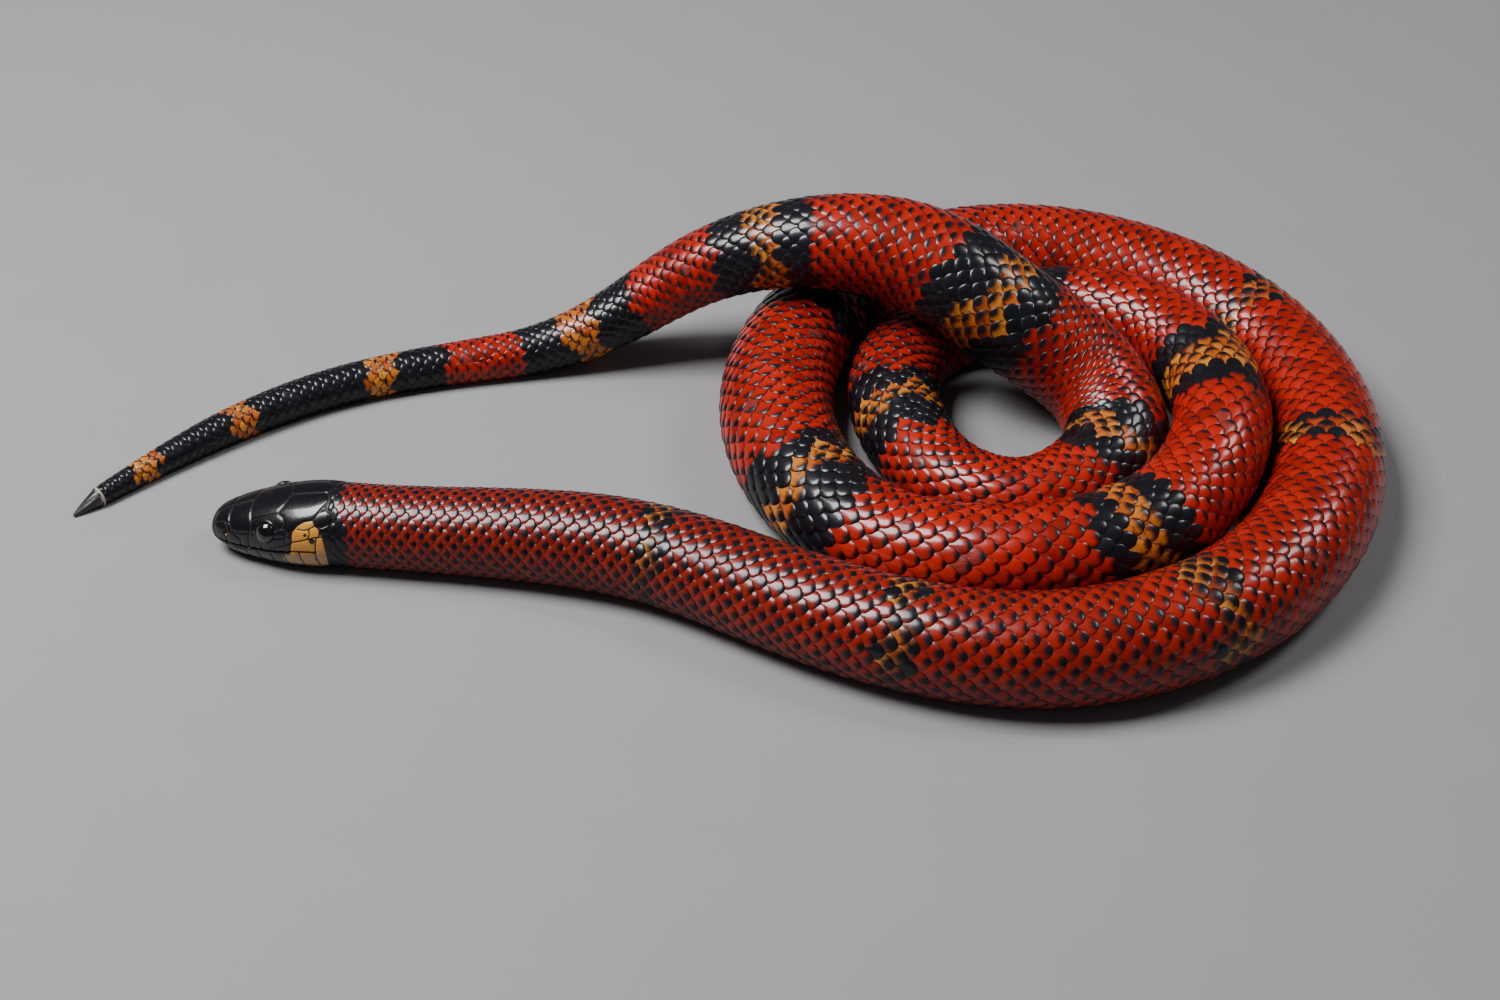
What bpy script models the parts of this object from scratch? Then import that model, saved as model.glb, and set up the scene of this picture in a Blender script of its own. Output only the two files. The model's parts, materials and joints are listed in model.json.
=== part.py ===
"""A milk snake at life size, as a still model. It lies in a flat coil of two and a half turns,
with its head laid out to one side and its tail brought back over the coil."""

import math

import bmesh
import bpy
import numpy as np

# Every length below is in millimetres. The meshes are made in metres.
MM = 0.001
GAP = 0.3  # between one length of the body and the next

# The body's section is an oval with a flat belly.
TALL = 0.95  # half height over half width
BELLY = 0.82  # belly's depth under the middle, over the half height
BACK_POINTS = 21  # points of a ring over the back, from one edge of the belly to the other
MOST_BEND = 9.0  # degrees that the body turns from one ring to the next
MOST_STEP = 9.0  # distance between rings where it runs straight

# The line that the belly follows on the floor, seen from above and measured from the
# middle of the coil. It starts at the snout, and after the neck it turns anticlockwise.
NECK_LINE = [(-181, -24), (-148, -28.5), (-114.5, -32), (-81.5, -39.5)]
COIL_START = -135  # degrees
COIL_STEP = 45  # degrees from one radius to the next
COIL_RADII = [76, 69, 68.5, 71, 74, 73.5, 63, 54.5]
COIL_RADII += [48.5, 42.5, 42.5, 46.5, 50, 48.5, 36.5, 24.4]
COIL_RADII += [20.8, 19.8, 19.3, 23, 24.2, 25.7]
TAIL_LINE = [(-22.5, 37.5), (-47, 43), (-81, 45), (-93, 43), (-116, 38), (-161, 25.5), (-190.5, 6), (-215, -17.5)]

# How far the belly is off the floor where the body climbs on its own coils, at those points.
LIFT = {13: 2, 14: 3, 15: 7.2, 16: 6.4}

# The slope of the belly where the tail climbs over the coil and comes down again, at distances
# along those points. It changes evenly from each to the next.
CLIMB = [(842, 0), (878, 0.55), (886, 0.55), (926, 0), (962, -0.55), (971, -0.55), (1009, 0)]

# Half width of the body at shares of its whole length.
GIRTH = [(0, 9.7), (0.03, 9.7), (0.08, 11.2), (0.2, 12.8), (0.35, 12.7), (0.44, 13.4), (0.49, 12.2), (0.53, 12)]
GIRTH += [(0.6, 10.9), (0.68, 11), (0.72, 9.75), (0.76, 12.4), (0.8, 13.45), (0.86, 9), (0.91, 5.6)]
GIRTH += [(0.96, 4.5), (0.99, 2.7), (1, 1.8)]

# Where the body is parted, as shares of its length. The head ends at its own length instead.
HEAD_LENGTH = 29.0
NECK_END = 0.075
TORSO_ENDS = [0.135, 0.19, 0.25, 0.31, 0.37, 0.43, 0.485, 0.54, 0.6, 0.66, 0.71, 0.75, 0.79, 0.845]
TAIL_ENDS = [0.9, 0.95]
SPINE_LENGTH = 7.0

# The head, at distances behind the snout: half width, crown, chin, and height of the mouth.
HEAD_STATIONS = [
    (0.0, 0.0, 5.0, 5.0, 5.0),
    (1.0, 3.6, 7.8, 2.8, 5.0),
    (3.5, 5.5, 9.7, 1.6, 5.0),
    (7.0, 6.9, 11.3, 0.8, 5.2),
    (12.5, 8.3, 13.3, 0.2, 5.7),
    (18.0, 9.4, 14.8, 0.0, 6.4),
    (23.0, 9.8, 15.8, 0.0, 7.2),
    (29.0, 9.7, 16.8, 0.0, 7.4),
]
BOXY = 2.35  # power of the head's rounded section: 2 would be an oval
HEAD_RINGS = 30
CROWN_POINTS = 10  # columns from the mouth to the middle of the crown, on each side
CHIN_POINTS = 4
MOUTH_DEPTH = 0.45
LIP = 0.035  # half the mouth's opening, in radians round the section
MOUTH_END = 26.0  # distance from the snout to the corner of the mouth
CHIN_BACK = 1.0  # how far the chin lies behind the snout
CHIN_REACH = 8.0

EYE_RADIUS = 2.3
EYE_BACK = 14.2
EYE_OUT = 6.75
EYE_HEIGHT = 8.8
NOSTRIL_RADIUS = 0.6
NOSTRIL_BACK = 4.3
NOSTRIL_OUT = 5.8
NOSTRIL_HEIGHT = 7.3
BALL_SIDES = 20  # of the eyes, and of the pits cut for them and for the nostrils

BLACK = (0.012, 0.011, 0.013)
RED = (0.42, 0.035, 0.012)
HORN = (0.05, 0.045, 0.04)
EYE = (0.006, 0.005, 0.005)


def clear_scene():
    for item in list(bpy.data.objects):
        bpy.data.objects.remove(item, do_unlink=True)


def material(name, colour, roughness):
    made = bpy.data.materials.new(name)
    made.use_nodes = True
    shader = made.node_tree.nodes["Principled BSDF"]
    shader.inputs["Base Color"].default_value = (*colour, 1.0)
    shader.inputs["Roughness"].default_value = roughness
    shader.inputs["Metallic"].default_value = 0.0
    return made


def smooth_line(at, places):
    """A natural cubic spline through places. It returns a function of at, and its slope."""
    at, places = np.asarray(at, float), np.asarray(places, float)
    span = np.diff(at)
    count = len(at)
    left = np.eye(count)
    right = np.zeros_like(places)
    for i in range(1, count - 1):
        left[i, i - 1 : i + 2] = span[i - 1], 2 * (span[i - 1] + span[i]), span[i]
        rise = (places[i + 1] - places[i]) / span[i] - (places[i] - places[i - 1]) / span[i - 1]
        right[i] = 6 * rise
    bend = np.linalg.solve(left, right)

    def value(t, slope=False):
        i = min(max(int(np.searchsorted(at, t) - 1), 0), count - 2)
        h, a, b = span[i], at[i + 1] - t, t - at[i]
        if slope:
            pull = (3 * b * b * bend[i + 1] - 3 * a * a * bend[i]) / (6 * h)
            return pull + (places[i + 1] - places[i]) / h - h * (bend[i + 1] - bend[i]) / 6
        pull = (a**3 * bend[i] + b**3 * bend[i + 1]) / (6 * h)
        return pull + a * (places[i] / h - h * bend[i] / 6) + b * (places[i + 1] / h - h * bend[i + 1] / 6)

    return value


def steady_line(at, levels):
    """A cubic curve through levels that never passes above or below two neighbours."""
    at, levels = np.asarray(at, float), np.asarray(levels, float)
    rise = np.diff(levels) / np.diff(at)
    slope = np.zeros_like(levels)
    slope[0], slope[-1] = rise[0], rise[-1]
    for i in range(1, len(levels) - 1):
        if rise[i - 1] * rise[i] > 0:
            slope[i] = 2 * rise[i - 1] * rise[i] / (rise[i - 1] + rise[i])

    def value(t):
        i = min(max(int(np.searchsorted(at, t) - 1), 0), len(at) - 2)
        h = at[i + 1] - at[i]
        u = (t - at[i]) / h
        near = levels[i] * (1 + 2 * u) * (1 - u) ** 2 + levels[i + 1] * u * u * (3 - 2 * u)
        return near + h * (slope[i] * u * (1 - u) ** 2 - slope[i + 1] * u * u * (1 - u))

    return value


def climbing_line(at, slopes):
    """The height of a line whose slope changes evenly between places, and is zero outside them."""
    at, slopes = np.asarray(at, float), np.asarray(slopes, float)
    rises = np.diff(at) * (slopes[1:] + slopes[:-1]) / 2
    heights = np.round(np.concatenate([[0], np.cumsum(rises)]), 9)

    def value(t):
        t = min(max(t, at[0]), at[-1])
        i = min(max(int(np.searchsorted(at, t) - 1), 0), len(at) - 2)
        u = t - at[i]
        return heights[i] + slopes[i] * u + (slopes[i + 1] - slopes[i]) * u * u / (2 * (at[i + 1] - at[i]))

    return value


class Route:
    """The line of the belly from the snout to the tip of the tail."""

    def __init__(self):
        turns = np.radians(COIL_START + COIL_STEP * np.arange(len(COIL_RADII)))
        coil = [(r * math.cos(t), r * math.sin(t)) for r, t in zip(COIL_RADII, turns)]
        points = np.array(NECK_LINE + coil + TAIL_LINE, float)
        lifts = np.zeros(len(points))
        for index, lift in LIFT.items():
            lifts[index] = lift
        knots = np.concatenate([[0], np.cumsum(np.linalg.norm(np.diff(points, axis=0), axis=1))])
        self.plan = smooth_line(knots, points)
        self.lift = steady_line(knots, lifts)
        self.climb = climbing_line(*zip(*CLIMB))
        samples = np.linspace(0, knots[-1], 4001)
        line = np.array([self.point(t) for t in samples])
        steps = np.linalg.norm(np.diff(line, axis=0), axis=1)
        self.samples = samples
        self.along = np.concatenate([[0], np.cumsum(steps)])
        self.length = self.along[-1]
        self.girth = steady_line(*zip(*GIRTH))

    def height(self, t):
        return self.lift(t) + self.climb(t)

    def point(self, t):
        return np.array([*self.plan(t), self.height(t)])

    def frame(self, distance):
        """Belly point, direction of travel, left and up, at a distance behind the snout."""
        t = np.interp(distance, self.along, self.samples)
        near = 0.05
        ahead = np.array([*self.plan(t, slope=True), (self.height(t + near) - self.height(t - near)) / (2 * near)])
        ahead /= np.linalg.norm(ahead)
        left = np.cross((0, 0, 1), ahead)
        left /= np.linalg.norm(left)
        return self.point(t), ahead, left, np.cross(ahead, left)

    def bend(self, start, end):
        """Degrees that the body turns between two distances."""
        headings = [self.frame(d)[1] for d in np.linspace(start, end, 40)]
        turns = [math.degrees(math.acos(min(1, a @ b))) for a, b in zip(headings, headings[1:])]
        return sum(turns)


def body_ring(route, distance, shift):
    """Points of the ring at a distance, moved by shift along the body."""
    point, ahead, left, up = route.frame(distance)
    half_width = route.girth(distance / route.length)
    half_height = half_width * TALL
    lowest = math.asin(BELLY)
    ring = []
    for angle in np.linspace(-lowest, math.pi + lowest, BACK_POINTS):
        across = half_width * math.cos(angle)
        above = half_height * (math.sin(angle) + BELLY)
        ring.append(point + ahead * shift + left * across + up * above)
    return ring


def mesh_object(name, points, faces, colour, roughness):
    """Makes a closed, smooth-shaded object from points in millimetres."""
    mesh = bpy.data.meshes.new(name)
    shape = bmesh.new()
    corners = [shape.verts.new(np.asarray(p) * MM) for p in points]
    for face in faces:
        shape.faces.new([corners[i] for i in face])
    bmesh.ops.recalc_face_normals(shape, faces=shape.faces)
    shape.to_mesh(mesh)
    shape.free()
    mesh.shade_smooth()
    mesh.set_sharp_from_angle(angle=math.radians(50))
    mesh.materials.append(material(name, colour, roughness))
    made = bpy.data.objects.new(name, mesh)
    bpy.data.collections["milk_snake"].objects.link(made)
    return made


def loft(name, rings, colour, roughness):
    """Joins rings of equal numbers of points, with a flat face at each end."""
    count = len(rings[0])
    points = [p for ring in rings for p in ring]
    faces = [list(range(count)), list(range(len(points) - count, len(points)))]
    for row in range(len(rings) - 1):
        low, high = row * count, (row + 1) * count
        for i in range(count):
            j = (i + 1) % count
            faces.append([low + i, low + j, high + j, high + i])
    return mesh_object(name, points, faces, colour, roughness)


def body_length(route, name, start, end):
    """One length of the body, cut square to its own direction at both ends."""
    bends = math.ceil(route.bend(start, end) / MOST_BEND)
    steps = max(bends, math.ceil((end - start) / MOST_STEP), 2)
    places = np.linspace(start, end, steps + 1)
    rings = [body_ring(route, d, 0) for d in places[1:-1]]
    rings.insert(0, body_ring(route, start, GAP / 2))
    rings.append(body_ring(route, end, -GAP / 2))
    return loft(name, rings, RED, 0.3)


def tail_spine(route):
    """The horny cap on the tip of the tail, which runs out to a blunt point."""
    start = route.length - SPINE_LENGTH
    rings = [body_ring(route, start, GAP / 2)]
    middle, ahead, _, _ = route.frame(start)
    for share in (0.3, 0.6, 0.85, 1.0):
        place = start + share * SPINE_LENGTH
        ring = np.array(body_ring(route, place, 0))
        point = route.frame(place)[0]
        narrow = 1 - 0.75 * share**1.6
        rings.append(point + (ring - point) * narrow)
    return loft("tail_spine", [list(r) for r in rings], HORN, 0.35)


class HeadShape:
    """Surface of the head by distance behind the snout and angle round the section."""

    def __init__(self, route):
        self.route = route
        table = np.array(HEAD_STATIONS)
        self.root = np.sqrt(table[:, 0])
        self.half_width, self.top, self.chin, self.mouth = (
            smooth_line(self.root, table[:, k]) for k in range(1, 5)
        )
        self.nape, self.ahead, self.left, self.up = route.frame(HEAD_LENGTH)

    def section(self, back):
        t = math.sqrt(back)
        width, top, chin = max(self.half_width(t), 0), self.top(t), max(self.chin(t), 0)
        half_height = (top - chin) / (1 + BELLY)
        middle = chin + BELLY * half_height
        return width, half_height, middle, chin

    def mouth_angle(self, back):
        _, half_height, middle, _ = self.section(back)
        level = (self.mouth(math.sqrt(back)) - middle) / half_height
        return -math.asin(min(abs(level), 0.75) ** (BOXY / 2))

    def point(self, back, angle, inset=0.0):
        """Place on the skin at an angle up from the left side, in the snake's frame."""
        width, half_height, middle, chin = self.section(back)
        power = 2 / BOXY
        across = math.copysign(abs(math.cos(angle)) ** power, math.cos(angle))
        above = math.copysign(abs(math.sin(angle)) ** power, math.sin(angle))
        out = across * max(width - inset, 0)
        height = max(middle + half_height * above, chin)
        below = min(max((self.mouth(math.sqrt(back)) - height) / 2, 0), 1)
        recede = CHIN_BACK * max(1 - back / CHIN_REACH, 0) * below
        return self.place(back + recede, out, height)

    def place(self, back, out, height):
        forward = HEAD_LENGTH - back
        return self.nape - self.ahead * forward + self.left * -out + self.up * height


def head(route):
    """Skull and jaws, with the mouth as a groove round them, and pits for eyes and nostrils."""
    shape = HeadShape(route)
    lowest = math.asin(BELLY) * 0.98
    rings = []
    for share in np.linspace(0, 1, HEAD_RINGS + 1)[1:]:
        back = HEAD_LENGTH * share**2
        mouth = shape.mouth_angle(back)
        open_mouth = max(1 - (back / MOUTH_END) ** 6, 0)
        side = [(a, 0) for a in np.linspace(math.pi / 2, mouth + LIP, CROWN_POINTS)]
        side.append((mouth, MOUTH_DEPTH * open_mouth))
        side += [(a, 0) for a in np.linspace(mouth - LIP, -lowest, CHIN_POINTS)]
        left = [shape.point(back, a, inset) for a, inset in side]
        right = [shape.point(back, math.pi - a, inset) for a, inset in reversed(side[1:])]
        rings.append(left + right)
    rings[-1] = [p - shape.ahead * GAP / 2 for p in rings[-1]]
    count = len(rings[0])
    points = [p for ring in rings for p in ring] + [shape.place(0, 0, HEAD_STATIONS[0][4])]
    tip = len(points) - 1
    faces = [[tip, i, (i + 1) % count] for i in range(count)]
    for row in range(len(rings) - 1):
        low, high = row * count, (row + 1) * count
        for i in range(count):
            j = (i + 1) % count
            faces.append([low + i, low + j, high + j, high + i])
    faces.append(list(range(tip - count, tip)))
    made = mesh_object("head", points, faces, BLACK, 0.2)
    pits = [(EYE_BACK, EYE_OUT, EYE_HEIGHT, EYE_RADIUS + GAP)]
    pits.append((NOSTRIL_BACK, NOSTRIL_OUT, NOSTRIL_HEIGHT, NOSTRIL_RADIUS))
    for back, out, height, radius in pits:
        for side in (-1, 1):
            cut_pit(made, shape.place(back, side * out, height), radius)
    return shape


def ball(name, middle, radius, segments):
    bpy.ops.mesh.primitive_uv_sphere_add(
        segments=segments, ring_count=segments // 2, radius=radius * MM, location=np.asarray(middle) * MM
    )
    made = bpy.context.object
    made.name = name
    made.data.name = name
    for collection in list(made.users_collection):
        collection.objects.unlink(made)
    return made


def cut_pit(target, middle, radius):
    cutter = ball("pit", middle, radius, BALL_SIDES)
    bpy.data.collections["cutters"].objects.link(cutter)
    cutter.hide_render = True
    cutter.display_type = "WIRE"
    cut = target.modifiers.new(cutter.name, "BOOLEAN")
    cut.operation = "DIFFERENCE"
    cut.object = cutter


def eye(shape, name, side):
    """An eyeball under its clear scale, sunk in its socket: snakes have no lids."""
    made = ball(name, shape.place(EYE_BACK, side * EYE_OUT, EYE_HEIGHT), EYE_RADIUS, BALL_SIDES)
    bpy.data.collections["milk_snake"].objects.link(made)
    made.data.shade_smooth()
    made.data.materials.clear()
    made.data.materials.append(material(name, EYE, 0.08))


def stand_on_origin():
    """Moves the snake so that the origin is on the floor under the middle of its box."""
    bpy.context.view_layer.update()
    parts = bpy.data.collections["milk_snake"].objects
    corners = np.array([part.matrix_world @ v.co for part in parts for v in part.data.vertices])
    middle = (corners.min(axis=0) + corners.max(axis=0)) / 2
    for item in bpy.data.objects:
        item.location.x -= middle[0]
        item.location.y -= middle[1]


def build():
    clear_scene()
    for name in ("milk_snake", "cutters"):
        bpy.context.scene.collection.children.link(bpy.data.collections.new(name))
    route = Route()
    shape = head(route)
    eye(shape, "eye_left", 1)
    eye(shape, "eye_right", -1)
    full = route.length
    cuts = [HEAD_LENGTH, NECK_END * full]
    cuts += [share * full for share in TORSO_ENDS + TAIL_ENDS] + [full - SPINE_LENGTH]
    names = ["neck"] + [f"torso_{i + 1}" for i in range(len(TORSO_ENDS))]
    names += [f"tail_{i + 1}" for i in range(len(TAIL_ENDS) + 1)]
    for name, start, end in zip(names, cuts, cuts[1:]):
        body_length(route, name, start, end)
    tail_spine(route)
    stand_on_origin()


build()
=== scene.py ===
# %% [markdown]
# # A milk snake, lying in a coil
#
# This script dresses the solids of a life-size milk snake. The solids give the place and the size
# of everything: the coil, the head laid out to one side, and the tail brought back over the coil.
# Here they get what the eye sees, which is scales. A smooth tube with a picture of scales would
# look right from one side only, so every scale is modelled. First the solids are loaded, and their
# box is kept, because nothing made here may reach outside it.

# %% Load the solids
import json
import math

import bpy
import numpy as np
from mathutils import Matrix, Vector, kdtree

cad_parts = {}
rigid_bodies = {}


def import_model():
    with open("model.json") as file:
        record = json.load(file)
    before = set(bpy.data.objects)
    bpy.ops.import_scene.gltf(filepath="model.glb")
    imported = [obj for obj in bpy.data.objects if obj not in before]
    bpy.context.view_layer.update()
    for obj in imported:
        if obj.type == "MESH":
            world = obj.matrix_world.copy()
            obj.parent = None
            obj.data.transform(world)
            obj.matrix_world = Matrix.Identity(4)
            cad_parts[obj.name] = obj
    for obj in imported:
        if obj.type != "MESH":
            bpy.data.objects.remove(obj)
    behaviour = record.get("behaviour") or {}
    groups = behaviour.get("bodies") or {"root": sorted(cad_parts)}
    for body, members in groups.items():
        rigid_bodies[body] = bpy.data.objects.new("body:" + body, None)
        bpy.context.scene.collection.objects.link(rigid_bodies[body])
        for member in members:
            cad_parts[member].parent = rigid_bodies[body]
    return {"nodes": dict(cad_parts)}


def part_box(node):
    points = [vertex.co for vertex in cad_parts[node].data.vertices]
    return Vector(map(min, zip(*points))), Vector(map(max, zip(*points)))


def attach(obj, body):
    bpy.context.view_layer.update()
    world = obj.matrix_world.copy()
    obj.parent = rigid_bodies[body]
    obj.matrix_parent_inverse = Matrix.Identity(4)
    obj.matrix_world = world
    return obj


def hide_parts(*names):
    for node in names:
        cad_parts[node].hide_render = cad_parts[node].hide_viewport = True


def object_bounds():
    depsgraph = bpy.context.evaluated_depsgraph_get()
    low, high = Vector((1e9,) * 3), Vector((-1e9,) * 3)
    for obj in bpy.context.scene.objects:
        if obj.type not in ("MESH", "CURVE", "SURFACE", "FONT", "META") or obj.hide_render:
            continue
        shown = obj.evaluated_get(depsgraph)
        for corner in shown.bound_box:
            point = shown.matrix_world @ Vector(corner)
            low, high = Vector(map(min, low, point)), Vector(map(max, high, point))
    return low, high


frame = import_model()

solid_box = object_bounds()


def sides(box):
    """The sides of a box in metres, for printing."""
    return [round(x, 4) for x in box[1] - box[0]]


print("solids:", len(frame["nodes"]), "nodes, box", sides(solid_box))

# %% [markdown]
# ## The camera
#
# The photo looks down at the snake from in front, at about 41 degrees, through a lens like a 50 mm
# one. The camera comes first, because every later choice is judged through it. Its place is given
# from the middle of the coil, which the next step finds, so only the numbers are set here. Lengths
# in this script are in millimetres, and become metres when a mesh is made.

# %% Camera numbers
MM = 0.001
CAMERA_FROM_COIL = (-61.4, -370.0, 316.0)
CAMERA_DOWN = 41.4  # degrees under the horizon
LENS = 50.0
SENSOR = 36.0

# %% [markdown]
# ## The line of the belly
#
# A snake is a tube round one long line, so the line is described first. It is a list of places that
# the belly passes over, with the coil given as radii at equal steps of angle. A natural cubic spline
# joins them, because it bends as evenly as a thin springy strip does, and a snake's spine does too.
# Girth and small heights use another curve that never swings past its own points, so that a belly
# that lies on the floor doesn't dip under it. Where the body climbs over the coil and down again, its
# slope is drawn and not its height. A slope that changes evenly keeps the bend gentle all the way,
# and the scales over it aren't pulled apart.

# %% Three kinds of curve
NECK_LINE = [(-181, -24), (-148, -28.5), (-114.5, -32), (-81.5, -39.5)]
COIL_START = -135
COIL_STEP = 45
COIL_RADII = [76, 69, 68.5, 71, 74, 73.5, 63, 54.5]
COIL_RADII += [48.5, 42.5, 42.5, 46.5, 50, 48.5, 36.5, 24.4]
COIL_RADII += [20.8, 19.8, 19.3, 23, 24.2, 25.7]
TAIL_LINE = [(-22.5, 37.5), (-47, 43), (-81, 45), (-93, 43)]
TAIL_LINE += [(-116, 38), (-161, 25.5), (-190.5, 6), (-215, -17.5)]
LIFT = {13: 2, 14: 3, 15: 7.2, 16: 6.4}  # heights of the belly, by place in the line
CLIMB = [(842, 0), (878, 0.55), (886, 0.55), (926, 0), (962, -0.55), (971, -0.55), (1009, 0)]
GIRTH = [(0, 9.7), (0.03, 9.7), (0.08, 11.2), (0.2, 12.8), (0.35, 12.7), (0.44, 13.4)]  # half widths
GIRTH += [(0.49, 12.2), (0.53, 12), (0.6, 10.9), (0.68, 11), (0.72, 9.75), (0.76, 12.4)]
GIRTH += [(0.8, 13.45), (0.86, 9), (0.91, 5.6), (0.96, 4.5), (0.99, 2.7), (1, 1.8)]
SPLINE_STEPS = 24001


def smooth_line(at, places):
    """A natural cubic spline through places, as a function of at."""
    at, places = np.asarray(at, float), np.asarray(places, float)
    span, count = np.diff(at), len(at)
    left, right = np.eye(count), np.zeros_like(places)
    for i in range(1, count - 1):
        left[i, i - 1 : i + 2] = span[i - 1], 2 * (span[i - 1] + span[i]), span[i]
        right[i] = 6 * ((places[i + 1] - places[i]) / span[i] - (places[i] - places[i - 1]) / span[i - 1])
    bend = np.linalg.solve(left, right)

    def value(t):
        i = np.clip(np.searchsorted(at, t) - 1, 0, count - 2)
        h, a, b = span[i], at[i + 1] - t, t - at[i]
        if places.ndim > 1:
            h, a, b = h[:, None], a[:, None], b[:, None]
        pull = (a**3 * bend[i] + b**3 * bend[i + 1]) / (6 * h)
        return pull + a * (places[i] / h - h * bend[i] / 6) + b * (places[i + 1] / h - h * bend[i + 1] / 6)

    return value


def steady_line(at, levels):
    """A cubic curve through levels that stays between neighbours."""
    at, levels = np.asarray(at, float), np.asarray(levels, float)
    rise = np.diff(levels) / np.diff(at)
    slope = np.zeros_like(levels)
    slope[0], slope[-1] = rise[0], rise[-1]
    for i in range(1, len(levels) - 1):
        if rise[i - 1] * rise[i] > 0:
            slope[i] = 2 * rise[i - 1] * rise[i] / (rise[i - 1] + rise[i])

    def value(t):
        i = np.clip(np.searchsorted(at, t) - 1, 0, len(at) - 2)
        h = at[i + 1] - at[i]
        u = (t - at[i]) / h
        near = levels[i] * (1 + 2 * u) * (1 - u) ** 2 + levels[i + 1] * u * u * (3 - 2 * u)
        return near + h * (slope[i] * u * (1 - u) ** 2 - slope[i + 1] * u * u * (1 - u))

    return value


def climbing_line(at, slopes):
    """The height of a line whose slope changes evenly between places, and is zero outside them."""
    at, slopes = np.asarray(at, float), np.asarray(slopes, float)
    rises = np.diff(at) * (slopes[1:] + slopes[:-1]) / 2
    heights = np.round(np.concatenate([[0], np.cumsum(rises)]), 9)

    def value(t):
        t = np.clip(t, at[0], at[-1])
        i = np.clip(np.searchsorted(at, t) - 1, 0, len(at) - 2)
        u = t - at[i]
        return heights[i] + slopes[i] * u + (slopes[i + 1] - slopes[i]) * u * u / (2 * (at[i + 1] - at[i]))

    return value


def eased(value, low, high):
    """0 below low, 1 above high, and a soft step between."""
    u = np.clip((value - low) / (high - low), 0, 1)
    return u * u * (3 - 2 * u)


# %% [markdown]
# ## A table along the body
#
# Every piece below asks the same question again and again: at this distance behind the snout, where
# is the belly, which way does the body run, and how thick is it? Working that out once, at steps of a
# twentieth of a millimetre, and reading between the steps is far quicker than asking the spline each
# time. The head is rigid, so its part of the table runs straight on from the nape.

# %% The table along the body
TALL = 0.95  # half the body's height, in half widths
BELLY = 0.82  # how high the middle lies over the flat belly, in half heights
HEAD_LENGTH = 29.0
SPINE_LENGTH = 7.0
BOXY = 2.35  # the power of the head's section, where 2 is an oval
NAPE_EASE = (24.0, 31.0)  # over these distances the head's boxy section becomes the neck's oval
HEAD_STATIONS = [  # distance, half width, top, chin, line of the mouth
    (0.0, 0.0, 5.0, 5.0, 5.0),
    (1.0, 3.6, 7.8, 2.8, 5.0),
    (3.5, 5.5, 9.7, 1.6, 5.0),
    (7.0, 6.9, 11.3, 0.8, 5.2),
    (12.5, 8.3, 13.3, 0.2, 5.7),
    (18.0, 9.4, 14.8, 0.0, 6.4),
    (23.0, 9.8, 15.8, 0.0, 7.2),
    (29.0, 9.7, 16.8, 0.0, 7.4),
]
CHIN_BACK = 1.0
CHIN_REACH = 8.0
TABLE_STEP = 0.05


def belly_line():
    """Places at equal distances along the belly, and the whole length."""
    turns = np.radians(COIL_START + COIL_STEP * np.arange(len(COIL_RADII)))
    coil = [(r * math.cos(t), r * math.sin(t)) for r, t in zip(COIL_RADII, turns)]
    knots_at = np.array(NECK_LINE + coil + TAIL_LINE, float)
    lifts = np.zeros(len(knots_at))
    for index, lift in LIFT.items():
        lifts[index] = lift
    knots = np.concatenate([[0], np.cumsum(np.linalg.norm(np.diff(knots_at, axis=0), axis=1))])
    plan, lift = smooth_line(knots, knots_at), steady_line(knots, lifts)
    climb = climbing_line(*zip(*CLIMB))
    fine = np.linspace(0, knots[-1], SPLINE_STEPS)
    line = np.column_stack([plan(fine), lift(fine) + climb(fine)])
    far = np.concatenate([[0], np.cumsum(np.linalg.norm(np.diff(line, axis=0), axis=1))])
    even = np.interp(np.arange(0, far[-1], TABLE_STEP), far, fine)
    return np.column_stack([plan(even), lift(even) + climb(even)]), far[-1]


LINE, LENGTH = belly_line()
DISTANCE = np.arange(len(LINE)) * TABLE_STEP
AHEAD = np.gradient(LINE, TABLE_STEP, axis=0)
AHEAD /= np.linalg.norm(AHEAD, axis=1)[:, None]
OWN_LEFT = np.cross(AHEAD, (0, 0, 1))
OWN_LEFT /= np.linalg.norm(OWN_LEFT, axis=1)[:, None]
UP = np.cross(OWN_LEFT, AHEAD)

NAPE = int(round(HEAD_LENGTH / TABLE_STEP))
LINE[:NAPE] = LINE[NAPE] - AHEAD[NAPE] * (HEAD_LENGTH - DISTANCE[:NAPE, None])
for direction in (AHEAD, OWN_LEFT, UP):
    direction[:NAPE] = direction[NAPE]

stations = np.array(HEAD_STATIONS)
root = np.sqrt(stations[:, 0])
head_width, head_top, head_chin, head_mouth = (smooth_line(root, stations[:, k]) for k in range(1, 5))
near = np.sqrt(DISTANCE[:NAPE])
HALF_WIDTH = steady_line(*zip(*GIRTH))(DISTANCE / LENGTH)
HALF_WIDTH[:NAPE] = np.maximum(head_width(near), 0)
CHIN = np.zeros(len(DISTANCE))
CHIN[:NAPE] = np.maximum(head_chin(near), 0)
HALF_HEIGHT = HALF_WIDTH * TALL
HALF_HEIGHT[:NAPE] = (head_top(near) - CHIN[:NAPE]) / (1 + BELLY)
MIDDLE = CHIN + BELLY * HALF_HEIGHT
POWER = BOXY + (2 - BOXY) * eased(DISTANCE, *NAPE_EASE)
TABLE = np.column_stack([LINE, AHEAD, OWN_LEFT, UP, HALF_WIDTH, HALF_HEIGHT, MIDDLE, CHIN, POWER])
print(f"body: {LENGTH:.0f} mm from snout to tail, in a table of {len(TABLE)} rows")

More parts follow.
